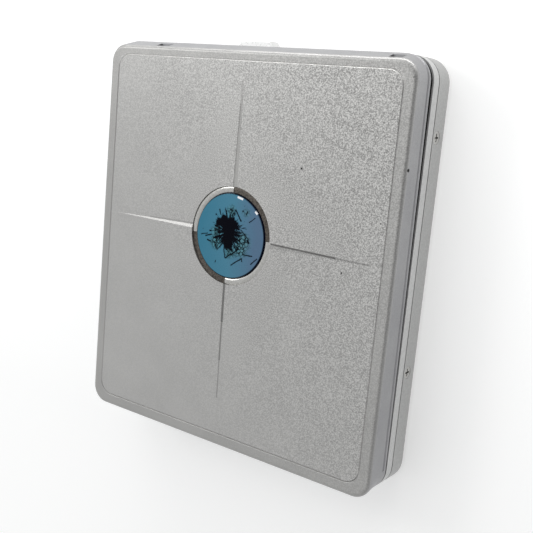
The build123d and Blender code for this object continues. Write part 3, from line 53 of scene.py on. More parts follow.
def addNode(tree, kind, settings=None, inputs=None, stops=None):
    # inputs: socket name or number -> a value, a hex colour, or (node, output) to link from
    # stops: a ramp's (place, hex colour) pairs
    made = tree.nodes.new(kind)
    for name, value in (settings or {}).items():
        setattr(made, name, value)
    for name, value in (inputs or {}).items():
        if isinstance(value, tuple) and len(value) == 2 and isinstance(value[0], bpy.types.Node):
            tree.links.new(value[0].outputs[value[1]], made.inputs[name])
        else:
            made.inputs[name].default_value = toLinear(value) if isinstance(value, str) else value
    if stops:
        line = made.color_ramp
        while len(line.elements) < len(stops):
            line.elements.new(0.5)
        for element, (spot, colour) in zip(line.elements, stops):
            element.position = spot
            element.color = toLinear(colour)
    return made


def perMm(size):
    return 1000.0 / size  # texture scale for a pattern of this many millimetres


def startMaterial(name):
    material = bpy.data.materials.new(name)
    material.use_nodes = True
    tree = material.node_tree
    tree.nodes.clear()
    output = addNode(tree, "ShaderNodeOutputMaterial")
    shader = addNode(tree, "ShaderNodeBsdfPrincipled")
    tree.links.new(shader.outputs[0], output.inputs["Surface"])
    place = addNode(tree, "ShaderNodeTexCoord")
    return material, tree, shader, (place, "Object")


def dress(names, material):
    for name in names.split():
        slots = nodes[name].data.materials
        slots.clear()
        slots.append(material)


def dotMark(tree, where, centreMm, radiusMm, softMm):
    # 1 inside a small ball, falling to 0 over softMm
    away = addNode(tree, "ShaderNodeVectorMath", {"operation": "DISTANCE"}, {
        0: where, 1: tuple(c * mm for c in centreMm)})
    return (addNode(tree, "ShaderNodeMapRange", inputs={
        "Value": (away, "Value"), "From Min": (radiusMm - softMm / 2) * mm,
        "From Max": (radiusMm + softMm / 2) * mm, "To Min": 1.0, "To Max": 0.0}), 0)


def lineMark(tree, where, startMm, endMm, widthMm, softMm):
    # 1 along a straight stroke seen from above, falling to 0 over softMm beside it
    run = Vector(endMm) - Vector(startMm)
    middle = (Vector(startMm) + Vector(endMm)) / 2
    turned = addNode(tree, "ShaderNodeMapping", {"vector_type": "TEXTURE"}, {
        "Vector": where, "Location": (middle.x * mm, middle.y * mm, 0.0),
        "Rotation": (0.0, 0.0, math.atan2(run.y, run.x))})
    folded = addNode(tree, "ShaderNodeVectorMath", {"operation": "ABSOLUTE"}, {0: (turned, 0)})
    past = addNode(tree, "ShaderNodeVectorMath", {"operation": "SUBTRACT"}, {
        0: (folded, 0), 1: (run.length / 2 * mm, widthMm / 2 * mm, 1.0)})
    outside = addNode(tree, "ShaderNodeVectorMath", {"operation": "MAXIMUM"}, {
        0: (past, 0), 1: (0.0, 0.0, 0.0)})
    away = addNode(tree, "ShaderNodeVectorMath", {"operation": "LENGTH"}, {0: (outside, 0)})
    return (addNode(tree, "ShaderNodeMapRange", inputs={
        "Value": (away, "Value"), "From Min": 0.0, "From Max": softMm * mm,
        "To Min": 1.0, "To Max": 0.0}), 0)


caseOutline = {"halfMm": (36.2, 40.1), "cornerMm": 4.6, "softMm": 0.05}


def insideWall(tree, where, depthMm, shorterMm=0.0):
    # 1 on what lies deeper than depthMm inside the case's rounded outline, 0 on its outer skin
    (x, y), corner, soft = caseOutline["halfMm"], caseOutline["cornerMm"], caseOutline["softMm"]
    folded = addNode(tree, "ShaderNodeVectorMath", {"operation": "ABSOLUTE"}, {0: where})
    past = addNode(tree, "ShaderNodeVectorMath", {"operation": "SUBTRACT"}, {
        0: (folded, 0), 1: ((x - corner) * mm, (y - shorterMm - corner) * mm, 1.0)})
    outside = addNode(tree, "ShaderNodeVectorMath", {"operation": "MAXIMUM"}, {
        0: (past, 0), 1: (0.0, 0.0, 0.0)})
    away = addNode(tree, "ShaderNodeVectorMath", {"operation": "LENGTH"}, {0: (outside, 0)})
    return (addNode(tree, "ShaderNodeMapRange", inputs={
        "Value": (away, "Value"), "From Min": (corner - depthMm - soft) * mm,
        "From Max": (corner - depthMm + soft) * mm, "To Min": 1.0, "To Max": 0.0}), 0)


def joinMarks(tree, marks):
    joined = marks[0]
    for mark in marks[1:]:
        joined = (addNode(tree, "ShaderNodeMath", {"operation": "MAXIMUM"}, {0: joined, 1: mark}), 0)
    return joined


cameraSet = {
    "placeMm": (102.992, 29.386, 146.981),
    "turnDeg": (-6.891, 36.034, 6.329),
    "lens": 58.44,
    "sensor": 36.0,
}
cameraData = bpy.data.cameras.new("camera")
cameraData.lens = cameraSet["lens"]
cameraData.sensor_width = cameraSet["sensor"]
cameraData.clip_start = 0.005
camera = bpy.data.objects.new("camera", cameraData)
camera.location = Vector(cameraSet["placeMm"]) * mm
camera.rotation_euler = Euler([math.radians(a) for a in cameraSet["turnDeg"]])
bpy.context.scene.collection.objects.link(camera)
bpy.context.scene.camera = camera
bpy.context.scene.view_settings.view_transform = "Standard"
print("camera placed")

studio = {
    "floorSize": 3.0,
    "floorColour": "#e3e3e2",
    "floorRough": 0.9,
    "floorSheen": 0.1,
    "glowReachMm": 50.0,
    "glowFront": 0.34,
    "glowRear": 0.48,
    "skyLeft": 1.0,
    "skyRight": 0.58,
    "skyFront": 0.75,
    "skyRear": 1.25,
    "darkTowards": (0.55, 0.14, 0.823),
    "darkFull": 20.0,
    "darkEnd": 38.0,
    "darkLevel": 0.3,
}
floorShape = bmesh.new()
bmesh.ops.create_grid(floorShape, x_segments=1, y_segments=1, size=studio["floorSize"] / 2)
bmesh.ops.translate(floorShape, verts=floorShape.verts, vec=(0, 0, -0.05 * mm))
floorMesh = bpy.data.meshes.new("floor")
floorShape.to_mesh(floorMesh)
floorShape.free()
floor = bpy.data.objects.new("floor", floorMesh)
bpy.context.scene.collection.objects.link(floor)
# matt white card lit from below: almost no sheen, and only a faint shadow round the object
floorPaint, tree, shader, here = startMaterial("white_light_table")
shader.inputs["Base Color"].default_value = toLinear(studio["floorColour"])
shader.inputs["Roughness"].default_value = studio["floorRough"]
shader.inputs["Specular IOR Level"].default_value = studio["floorSheen"]
shader.inputs["Emission Color"].default_value = (1.0, 1.0, 1.0, 1.0)
axes = addNode(tree, "ShaderNodeSeparateXYZ", inputs={0: here})
glow = addNode(tree, "ShaderNodeMapRange", inputs={
    "Value": (axes, "Y"), "From Min": -studio["glowReachMm"] * mm, "From Max": studio["glowReachMm"] * mm,
    "To Min": studio["glowFront"], "To Max": studio["glowRear"]})
tree.links.new(glow.outputs[0], shader.inputs["Emission Strength"])
floorMesh.materials.append(floorPaint)

world = bpy.data.worlds.new("soft_tent")
world.use_nodes = True
bpy.context.scene.world = world
tree = world.node_tree
tree.nodes.clear()
way = addNode(tree, "ShaderNodeTexCoord")
axes = addNode(tree, "ShaderNodeSeparateXYZ", inputs={0: (way, "Generated")})
level = addNode(tree, "ShaderNodeMapRange", inputs={
    "Value": (axes, "X"), "From Min": -1.0, "From Max": 1.0,
    "To Min": studio["skyLeft"], "To Max": studio["skyRight"]})
depth = addNode(tree, "ShaderNodeMapRange", inputs={
    "Value": (axes, "Y"), "From Min": -1.0, "From Max": 1.0,
    "To Min": studio["skyFront"], "To Max": studio["skyRear"]})
# the tent's opening overhead, where no light comes from
towards = addNode(tree, "ShaderNodeVectorMath", {"operation": "DOT_PRODUCT"}, {
    0: (way, "Generated"), 1: studio["darkTowards"]})
opening = addNode(tree, "ShaderNodeMapRange", {"interpolation_type": "SMOOTHSTEP"}, {
    "Value": (towards, "Value"), "From Min": math.cos(math.radians(studio["darkEnd"])),
    "From Max": math.cos(math.radians(studio["darkFull"])),
    "To Min": 1.0, "To Max": studio["darkLevel"]})
levels = addNode(tree, "ShaderNodeMath", {"operation": "MULTIPLY"}, {0: (level, 0), 1: (depth, 0)})
strength = addNode(tree, "ShaderNodeMath", {"operation": "MULTIPLY"}, {0: (levels, 0), 1: (opening, 0)})
tent = addNode(tree, "ShaderNodeBackground", inputs={
    "Color": (0.98, 0.99, 1.0, 1.0), "Strength": (strength, 0)})
addNode(tree, "ShaderNodeOutputWorld", inputs={"Surface": (tent, 0)})

lights = {
    "key_left": {"place": (-0.39, 0.21, 0.4), "size": (0.16, 0.16), "power": 0.4},
    "rear_strip": {"place": (-0.03, 0.46, 0.1), "size": (0.62, 0.1), "power": 1.25},
}
for name, light in lights.items():
    lamp = bpy.data.lights.new(name, "AREA")
    lamp.shape = "RECTANGLE"
    lamp.size, lamp.size_y = light["size"]
    lamp.energy = light["power"]
    lampObject = bpy.data.objects.new(name, lamp)
    lampObject.location = light["place"]
    lampObject.rotation_euler = (-Vector(light["place"])).to_track_quat("-Z", "Y").to_euler()
    bpy.context.scene.collection.objects.link(lampObject)
print("floor and lights placed")

# aluminium sheet, bead-blasted and sprayed with silver flake: a speckled grain over a soft sheen
lidPaint = {
    "light": "#d2d1ce",
    "middle": "#afaeac",
    "dark": "#868583",
    # painted shade: the lid's walls are painted darker than its face
    "side": "#949497",
    "topFromMm": (13.3, 13.95),  # the walls' painted shade turns into the face's colour between these heights
    "grainMm": 0.22,  # the real grain is about half of this, too fine to show
    "grainTowards": (0.12, 0.08),  # the speckle is stronger towards the upper right
    "grainReach": (-4.0, 5.8),
    "leastGrain": 0.12,
    "sideGrain": 0.3,
    "cloudMm": 9.0,
    "cloudTone": 0.12,
    "roughLow": 0.37,
    "roughHigh": 0.44,
    "bump": 0.18,
    "bumpMm": 0.04,
    "metallic": 0.75,
    "margin": "#8a8986",  # outside the border line
    "marginInsetMm": 2.5,
    "marginTone": 0.3,
    "marginGrain": 0.45,
    # the border line's painted light and shade: along this axis, full here, none there, how much, which
    # colour
    "lineFloorMm": (13.97, 13.99),
    "lineInsetMm": 1.2,
    "lineLightAndShade": [
        ("X", -33.0, -32.0, 0.5, "#e9e8e5"), ("Y", 36.0, 33.5, 0.5, "#e9e8e5"),
        ("X", 33.3, 32.5, 0.22, "#e9e8e5"), ("Y", -36.5, -35.0, 0.45, "#6f6e6c"),
    ],
    # strokes: start, end, width, how much
    "strokeSoftMm": 0.16,
    # painted light: a pale tint on the top arm's shaded slope
    "lift": "#c4c3c0",
    "paintedLightStrokes": [
        ((0.1, 12.9), (0.0, 18.0), 0.7, 0.7), ((0.0, 18.0), (-0.1, 24.0), 0.45, 0.6),
        ((-0.1, 24.0), (-0.15, 29.0), 0.2, 0.4),
    ],
    # painted shade: dark lines in the creases at the arms' steps
    "crease": "#3a3937",
    "creaseShadeStrokes": [
        ((9.7, 3.42), (24.0, 3.24), 0.2, 0.75), ((24.0, 3.24), (31.0, 3.15), 0.12, 0.4),
        ((-0.36, 13.0), (-0.36, 29.0), 0.14, 0.5), ((-0.36, 29.0), (-0.36, 33.5), 0.1, 0.25),
        ((-9.8, 4.5), (-22.0, 4.1), 0.1, 0.25),
        ((-0.75, -6.4), (-0.66, -14.0), 0.5, 0.7), ((-0.66, -14.0), (-0.55, -22.0), 0.3, 0.55),
        ((-0.55, -22.0), (-0.42, -30.0), 0.12, 0.4),
    ],
    # dirt on the face and nicks on its right edge: centre, radius
    "speck": "#1b1a1a",
    "speckSoftMm": 0.12,
    "specks": [
        ((14.9, 18.4, 14.0), 0.19), ((25.6, 0.8, 14.0), 0.16), ((32.4, 10.8, 14.0), 0.13),
        ((35.4, 36.0, 13.75), 0.26), ((35.6, 35.45, 13.6), 0.2), ((36.2, 20.5, 13.4), 0.3),
    ],
    # painted shade: near-black for the skirt's inner side seen in the gap
    "gapShade": "#141415",
    "gapShadeTopMm": (10.9, 11.0),
    "skinMm": 0.55,
}
lidSilver, tree, shader, here = startMaterial("bead_blasted_silver_lid")
axes = addNode(tree, "ShaderNodeSeparateXYZ", inputs={0: here})
grain = addNode(tree, "ShaderNodeTexNoise", inputs={
    "Vector": here, "Scale": perMm(lidPaint["grainMm"]), "Detail": 1.0, "Roughness": 0.5})
cloud = addNode(tree, "ShaderNodeTexNoise", inputs={
    "Vector": here, "Scale": perMm(lidPaint["cloudMm"]), "Detail": 2.0})
speckle = addNode(tree, "ShaderNodeValToRGB", inputs={0: (grain, 0)}, stops=[
    (0.36, lidPaint["dark"]), (0.5, lidPaint["middle"]), (0.64, lidPaint["light"])])
low, high = lidPaint["topFromMm"]
onTop = addNode(tree, "ShaderNodeMapRange", inputs={
    "Value": (axes, "Z"), "From Min": low * mm, "From Max": high * mm, "To Min": 0.0, "To Max": 1.0})

# how strong the speckle is: more to the upper right, less on the walls and in the margin
x, y = lidPaint["grainTowards"]
low, high = lidPaint["grainReach"]
reach = addNode(tree, "ShaderNodeVectorMath", {"operation": "DOT_PRODUCT"}, {
    0: here, 1: (x / mm, y / mm, 0.0)})
grainShare = addNode(tree, "ShaderNodeMapRange", inputs={
    "Value": (reach, "Value"), "From Min": low, "From Max": high,
    "To Min": lidPaint["leastGrain"], "To Max": 1.0})
sideShare = addNode(tree, "ShaderNodeMath", {"operation": "MAXIMUM"}, {
    0: (onTop, 0), 1: lidPaint["sideGrain"]})
inBorder = insideWall(tree, here, lidPaint["marginInsetMm"], shorterMm=0.2)
marginShare = addNode(tree, "ShaderNodeMapRange", inputs={
    "Value": inBorder, "From Min": 0.0, "From Max": 1.0,
    "To Min": lidPaint["marginGrain"], "To Max": 1.0})
faceShare = addNode(tree, "ShaderNodeMath", {"operation": "MULTIPLY"}, {
    0: (grainShare, 0), 1: (marginShare, 0)})
share = addNode(tree, "ShaderNodeMath", {"operation": "MULTIPLY"}, {0: (faceShare, 0), 1: (sideShare, 0)})

# the margin outside the border line is a little greyer, being buffed less
outer = addNode(tree, "ShaderNodeMapRange", inputs={
    "Value": inBorder, "From Min": 0.0, "From Max": 1.0, "To Min": lidPaint["marginTone"], "To Max": 0.0})
outerTop = addNode(tree, "ShaderNodeMath", {"operation": "MULTIPLY"}, {0: (outer, 0), 1: (onTop, 0)})
patches = addNode(tree, "ShaderNodeMapRange", inputs={
    "Value": (cloud, 0), "From Min": 0.3, "From Max": 0.7,
    "To Min": 0.0, "To Max": lidPaint["cloudTone"]})

# each layer is (how much, colour), laid over the ones before it
layers = [
    ((onTop, 0), lidPaint["middle"]), ((outerTop, 0), lidPaint["margin"]),
    ((share, 0), (speckle, 0)), ((patches, 0), lidPaint["light"]),
]
# painted light on the top arm's slope, lightening its shaded side, and painted shade in the creases beside
# the arms
for strokes, colour in (("paintedLightStrokes", "lift"), ("creaseShadeStrokes", "crease")):
    for start, end, width, amount in lidPaint[strokes]:
        stroke = lineMark(tree, here, start, end, width, lidPaint["strokeSoftMm"])
        faded = addNode(tree, "ShaderNodeMath", {"operation": "MULTIPLY"}, {0: stroke, 1: amount})
        layers.append(((faded, 0), lidPaint[colour]))
# the fine border line: painted light on three sides, cancelling the groove's shading there, and painted
# shade at the hinge end
low, high = lidPaint["lineFloorMm"]
inLine = addNode(tree, "ShaderNodeMapRange", inputs={
    "Value": (axes, "Z"), "From Min": low * mm, "From Max": high * mm, "To Min": 1.0, "To Max": 0.0})
notEdge = insideWall(tree, here, lidPaint["lineInsetMm"], shorterMm=1.1)
line = addNode(tree, "ShaderNodeMath", {"operation": "MULTIPLY"}, {0: (inLine, 0), 1: notEdge})
for axis, full, none, amount, colour in lidPaint["lineLightAndShade"]:
    along = addNode(tree, "ShaderNodeMapRange", inputs={
        "Value": (axes, axis), "From Min": full * mm, "From Max": none * mm,
        "To Min": amount, "To Max": 0.0})
    part = addNode(tree, "ShaderNodeMath", {"operation": "MULTIPLY"}, {0: (line, 0), 1: (along, 0)})
    layers.append(((part, 0), colour))
specks = [dotMark(tree, here, spot, radius, lidPaint["speckSoftMm"]) for spot, radius in lidPaint["specks"]]
layers.append((joinMarks(tree, specks), lidPaint["speck"]))
# painted shade: the skirt's inner side, seen in the gap, is painted dull black
low, high = lidPaint["gapShadeTopMm"]
below = addNode(tree, "ShaderNodeMapRange", inputs={
    "Value": (axes, "Z"), "From Min": low * mm, "From Max": high * mm, "To Min": 1.0, "To Max": 0.0})
inner = addNode(tree, "ShaderNodeMath", {"operation": "MULTIPLY"}, {
    0: insideWall(tree, here, lidPaint["skinMm"]), 1: (below, 0)})
layers.append(((inner, 0), lidPaint["gapShade"]))

# the walls start from the painted shade colour
last = lidPaint["side"]
for amount, colour in layers:
    last = (addNode(tree, "ShaderNodeMix", {"data_type": "RGBA"}, {
        "Factor": amount, 6: last, 7: colour}), 2)
tree.links.new(last[0].outputs[last[1]], shader.inputs["Base Color"])
rough = addNode(tree, "ShaderNodeMapRange", inputs={
    "Value": (grain, 0), "From Min": 0.3, "From Max": 0.7,
    "To Min": lidPaint["roughLow"], "To Max": lidPaint["roughHigh"]})
tree.links.new(rough.outputs[0], shader.inputs["Roughness"])
bump = addNode(tree, "ShaderNodeBump", inputs={
    "Height": (grain, 0), "Strength": lidPaint["bump"], "Distance": lidPaint["bumpMm"] * mm})
tree.links.new(bump.outputs[0], shader.inputs["Normal"])
shader.inputs["Metallic"].default_value = lidPaint["metallic"]
dress("lid_cover", lidSilver)
print("lid paint done")


fineBumpMm = 0.02


def plainFinish(name, light, dark, grainMm, rough, metallic=0.0, bump=0.1, stretch=(1, 1, 1), coat=0.0):
    material, tree, shader, here = startMaterial(name)
    lay = addNode(tree, "ShaderNodeMapping", inputs={"Vector": here, "Scale": stretch})
    grain = addNode(tree, "ShaderNodeTexNoise", inputs={
        "Vector": (lay, 0), "Scale": perMm(grainMm), "Detail": 4.0, "Roughness": 0.6})
    colour = addNode(tree, "ShaderNodeValToRGB", inputs={0: (grain, 0)}, stops=[
        (0.35, dark), (0.65, light)])
    tree.links.new(colour.outputs[0], shader.inputs["Base Color"])
    roughness = addNode(tree, "ShaderNodeMapRange", inputs={
        "Value": (grain, 0), "From Min": 0.3, "From Max": 0.7,
        "To Min": rough * 0.85, "To Max": min(rough * 1.2, 1.0)})
    tree.links.new(roughness.outputs[0], shader.inputs["Roughness"])
    if bump:
        lump = addNode(tree, "ShaderNodeBump", inputs={
            "Height": (grain, 0), "Strength": bump, "Distance": fineBumpMm * mm})
        tree.links.new(lump.outputs[0], shader.inputs["Normal"])
    shader.inputs["Metallic"].default_value = metallic
    shader.inputs["Coat Weight"].default_value = coat
    return material


finishes = {
    # the same flake paint on the drawn tray and its door: two close greys, so a soft even silver
    "bead_blasted_silver_case": {
        "pieces": "bottom_shell battery_door",
        "light": "#b9b9b8", "dark": "#a9a9a8", "grainMm": 0.42, "rough": 0.42, "metallic": 0.75,
        "bump": 0.2},
    # spring-steel sheet, rolled along Y: long faint lines and a soft gleam
    "rolled_spring_steel": {
        "pieces": "lid_liner holder_roof holder_rail_left holder_rail_right lid_hinge_brackets"
                  " latch_bar motor_bracket spindle_motor_base",
        "light": "#b4b6b8", "dark": "#9c9ea1", "grainMm": 0.5, "rough": 0.33, "metallic": 0.85,
        "stretch": (6, 0.25, 6)},
    # nickel-plated screws and ground steel rods: bright, with turned rings too fine to see
    "nickel_plated_steel": {
        "pieces": "lid_catches side_screws back_screws lid_screws hinge_pins locating_pins motor_posts"
                  " guide_rods lead_screw spindle_shaft battery_door_pin",
        "light": "#c4c3c0", "dark": "#aaa9a6", "grainMm": 0.15, "rough": 0.2, "metallic": 1.0,
        "bump": 0.05},
    # die-cast and turned aluminium: pale, slightly mottled
    "die_cast_aluminium": {
        "pieces": "chassis_deck sled_motor rotor_can clamp_magnet",
        "light": "#b9bbbd", "dark": "#a3a5a8", "grainMm": 0.6, "rough": 0.46, "metallic": 0.6},
    # black mouldings with spark-eroded texture
    "black_textured_abs": {
        "pieces": "battery_tray rod_brackets lens_holder turntable button_switches hold_switch"
                  " circuit_chips",
        "light": "#232326", "dark": "#161618", "grainMm": 0.3, "rough": 0.6, "bump": 0.3},
    # polyester sheet: dark and a little glossy
    "black_polyester_sheet": {
        "pieces": "battery_cover insulating_sheet",
        "light": "#1c1d20", "dark": "#141518", "grainMm": 2.0, "rough": 0.35},
    # vacuum-metallised mouldings: bright mirror with a slight haze
    "metallised_abs": {
        "pieces": "volume_down_button volume_up_button skip_back_button play_button"
                  " skip_forward_button jack_socket",
        "light": "#c9c9c8", "dark": "#b6b6b5", "grainMm": 0.4, "rough": 0.22, "metallic": 1.0,
        "bump": 0.04},
    # the two sliding knobs: the same moulding, given a whiter, brighter colour
    "whiter_metallised_abs": {
        "pieces": "hold_knob open_knob",
        "light": "#e4e4e3", "dark": "#d8d8d7", "grainMm": 0.4, "rough": 0.3, "metallic": 0.9,
        "bump": 0.04},
    # shrink-wrapped cell: glossy dark blue film
    "shrink_wrap_film": {
        "pieces": "battery",
        "light": "#2b3a5c", "dark": "#243150", "grainMm": 3.0, "rough": 0.2, "bump": 0.03,
        "coat": 0.4},
    # thin gold flash over brass: a warm, clean gleam
    "gold_flashed_brass": {
        "pieces": "battery_contacts",
        "light": "#d3a753", "dark": "#b98c3d", "grainMm": 0.3, "rough": 0.3, "metallic": 1.0},
    # wound coils, the turns showing as a coarse grain
    "enamelled_copper": {
        "pieces": "motor_coils",
        "light": "#b86a35", "dark": "#8b4a22", "grainMm": 0.2, "rough": 0.35, "metallic": 1.0,
        "bump": 0.5, "stretch": (1, 1, 5)},
    # matt moulded rubber
    "soft_black_rubber": {
        "pieces": "deck_dampers",
        "light": "#1b1b1b", "dark": "#101010", "grainMm": 0.4, "rough": 0.8, "bump": 0.2},
    # glass-epoxy board under green resist
    "green_resist_board": {
        "pieces": "circuit_board button_board",
        "light": "#1f5a36", "dark": "#174a2b", "grainMm": 0.8, "rough": 0.35, "coat": 0.3},
    # unfilled nylon of the gears: waxy off-white
    "natural_nylon": {
        "pieces": "screw_gear motor_pinion screw_nut",
        "light": "#e6e2d4", "dark": "#d8d3c3", "grainMm": 0.6, "rough": 0.5},
    # glass-filled black-grey moulding of the sled
    "glass_filled_sled": {
        "pieces": "pickup_block",
        "light": "#4b4c50", "dark": "#3a3b3e", "grainMm": 0.25, "rough": 0.55, "bump": 0.3},
    # violet bloom on clear plastic
    "coated_lens": {
        "pieces": "objective_lens",
        "light": "#6a5a9a", "dark": "#54508f", "grainMm": 1.2, "rough": 0.05, "bump": 0.0,
        "coat": 1.0},
}
for name, look in finishes.items():
    dress(look.pop("pieces"), plainFinish(name, **look))

# silver paint on the band's outer skin, a pale smooth band, and painted shade, near-black, on its inner
# faces seen in the gap above it
framePaint = {
    "silver": "#c9c9c8",
    "shade": "#bdbdbc",
    # painted shade: near-black for the inner faces seen in the gap
    "inside": "#121213",
    "skinMm": 0.3,
    "grainMm": 0.5,
    "roughLow": 0.34,
    "roughHigh": 0.44,
    "bump": 0.08,
    "metallic": 0.35,
}
bandSilver, tree, shader, here = startMaterial("silver_band_with_painted_gap_shade")
grain = addNode(tree, "ShaderNodeTexNoise", inputs={
    "Vector": here, "Scale": perMm(framePaint["grainMm"]), "Detail": 3.0, "Roughness": 0.6})
silver = addNode(tree, "ShaderNodeValToRGB", inputs={0: (grain, 0)}, stops=[
    (0.35, framePaint["shade"]), (0.65, framePaint["silver"])])
# painted shade on the inner faces
inner = insideWall(tree, here, framePaint["skinMm"])
colour = addNode(tree, "ShaderNodeMix", {"data_type": "RGBA"}, {
    "Factor": inner, 6: (silver, 0), 7: framePaint["inside"]})
tree.links.new(colour.outputs[2], shader.inputs["Base Color"])
rough = addNode(tree, "ShaderNodeMapRange", inputs={
    "Value": (grain, 0), "From Min": 0.3, "From Max": 0.7,
    "To Min": framePaint["roughLow"], "To Max": framePaint["roughHigh"]})
tree.links.new(rough.outputs[0], shader.inputs["Roughness"])
lump = addNode(tree, "ShaderNodeBump", inputs={
    "Height": (grain, 0), "Strength": framePaint["bump"], "Distance": fineBumpMm * mm})
tree.links.new(lump.outputs[0], shader.inputs["Normal"])
shader.inputs["Metallic"].default_value = framePaint["metallic"]
dress("mid_frame", bandSilver)
print("inner finishes done")

# clear acrylic over a blue interference film; the teal turning violet across the face is a painted
# reflection, the film's colour shift with angle painted by position
jewelSet = {
    "centre": (-0.4, 3.38),
    "faceMm": 14.4,
    "acrossMm": (-8.0, 8.0),
    "teal": "#407c94",
    "blue": "#4f849b",
    "violet": "#5a758f",
    "hazeMm": 3.0,
    "haze": 0.25,
    # painted shade: dark navy on the side below the face
    "side": "#0a1436",
    "sideTopMm": 14.02,
    # painted shade: near-black on the film's outer edge
    "rim": "#050a12",
    "rimMm": 8.25,
    "worn": "#01020c",
    "raggedMm": 0.9,
    "wobbleMm": 2.4,  # how far the ragged noise pushes a patch's edge
    "fineWobbleMm": 0.5,  # and how far it pushes a fine line
    # black middle: centre, radius
    "coreSoftMm": 0.25,
    "cores": [
        ((-3.2, 5.7), 0.95), ((-1.9, 6.1), 1.25), ((-0.3, 6.1), 1.2), ((0.75, 5.75), 0.9),
        ((-0.7, 4.7), 1.75), ((-0.45, 3.3), 1.5), ((-0.5, 2.2), 1.35), ((-0.9, 1.1), 0.6),
        ((1.9, 1.3), 0.45), ((0.3, 0.9), 0.5),
    ],
    "hairCentre": (-0.7, 4.2),
    "hairScale": (7.0, 350.0, 1.0),
    "hairReachMm": (2.2, 5.0),
    # crazed patches: centre, radius
    "crazed": "#5d8f8c",
    "crazedTone": 0.45,
    "crazedSoftMm": 1.2,
    "webMm": 0.65,
    "webs": [
        ((-3.5, 3.6), 1.3), ((-3.6, 1.7), 1.3), ((2.9, 2.7), 1.7), ((2.4, 1.2), 1.5),
        ((0.2, 0.4), 1.2), ((-0.3, 8.3), 0.9), ((3.3, 8.5), 0.5),
    ],
    # start, end, width
    "scratchSoftMm": 0.14,
    "scratches": [
        ((-0.88, -1.05), (2.3, 1.25), 0.16), ((0.57, -2.3), (3.07, -0.5), 0.12),
        ((3.07, -0.5), (3.17, -1.12), 0.1), ((5.3, -1.3), (6.7, 0.0), 0.07),
        ((-7.6, 2.68), (-5.9, 3.1), 0.06), ((-6.4, 2.54), (-4.8, 3.04), 0.14),
        ((-5.9, 1.8), (-4.84, 1.58), 0.18), ((0.7, 8.7), (2.26, 6.7), 0.16),
        ((4.2, 6.7), (5.5, 7.8), 0.07), ((-3.33, 8.3), (-2.95, 7.25), 0.12),
        ((-4.15, 7.25), (-4.0, 7.05), 0.2), ((3.2, 0.3), (5.5, 0.3), 0.1),
        ((-3.67, 1.2), (-3.38, 0.37), 0.22), ((4.1, 3.3), (4.5, 2.6), 0.36),
        ((2.47, 8.8), (2.5, 8.6), 0.16), ((3.6, 8.8), (3.3, 8.1), 0.12),
        ((-0.7, 8.55), (0.0, 8.6), 0.14), ((0.35, 8.1), (0.45, 7.9), 0.16),
        ((2.4, 5.0), (4.4, 3.4), 0.08), ((1.0, 3.6), (3.6, 4.2), 0.07),
        ((-1.4, 0.4), (-1.0, -1.1), 0.1),
    ],
    # painted highlights: two white glints on the rim
    "chip": "#ffffff",
    "glintSoftMm": 0.12,
    "chips": [((0.9, 11.25), (2.15, 10.98), 0.28), ((5.4, 9.0), (5.85, 8.6), 0.24)],
    "roughPolished": 0.14,
    "roughWorn": 0.5,
    "metallic": 0.45,
    "specular": 0.06,
}
jewelBlue, tree, shader, here = startMaterial("metallised_blue_acrylic")
axes = addNode(tree, "ShaderNodeSeparateXYZ", inputs={0: here})
low, high = jewelSet["acrossMm"]
across = addNode(tree, "ShaderNodeMapRange", inputs={
    "Value": (axes, "X"), "From Min": low * mm, "From Max": high * mm, "To Min": 0.0, "To Max": 1.0})
haze = addNode(tree, "ShaderNodeTexNoise", inputs={
    "Vector": here, "Scale": perMm(jewelSet["hazeMm"]), "Detail": 5.0, "Roughness": 0.7})
hazeAcross = addNode(tree, "ShaderNodeMath", {"operation": "MULTIPLY_ADD"}, {
    0: (haze, 0), 1: jewelSet["haze"], 2: (across, 0)})
# painted reflection: the film's own blue, shifted from teal to violet across the face by position
film = addNode(tree, "ShaderNodeValToRGB", inputs={0: (hazeAcross, 0)}, stops=[
    (0.15, jewelSet["teal"]), (0.62, jewelSet["blue"]), (1.0, jewelSet["violet"])])

# the place pushed about by noise: far for ragged patches, a little for fine lines
ragged = addNode(tree, "ShaderNodeTexNoise", inputs={
    "Vector": here, "Scale": perMm(jewelSet["raggedMm"]), "Detail": 6.0, "Roughness": 0.85})
pushed = []
for push in (jewelSet["wobbleMm"] * mm, jewelSet["fineWobbleMm"] * mm):
    moved = addNode(tree, "ShaderNodeVectorMath", {"operation": "MULTIPLY_ADD"}, {
        0: (ragged, "Color"), 1: (push, push, 0.0), 2: here})
    centred = addNode(tree, "ShaderNodeVectorMath", {"operation": "SUBTRACT"}, {
        0: (moved, 0), 1: (push / 2, push / 2, 0.0)})
    pushed.append((centred, 0))
loose, bent = pushed
cores, webs = [
    joinMarks(tree, [dotMark(tree, loose, (x, y, jewelSet["faceMm"]), radius, soft)
                     for (x, y), radius in jewelSet[patches]])
    for patches, soft in (("cores", jewelSet["coreSoftMm"]), ("webs", jewelSet["crazedSoftMm"]))]

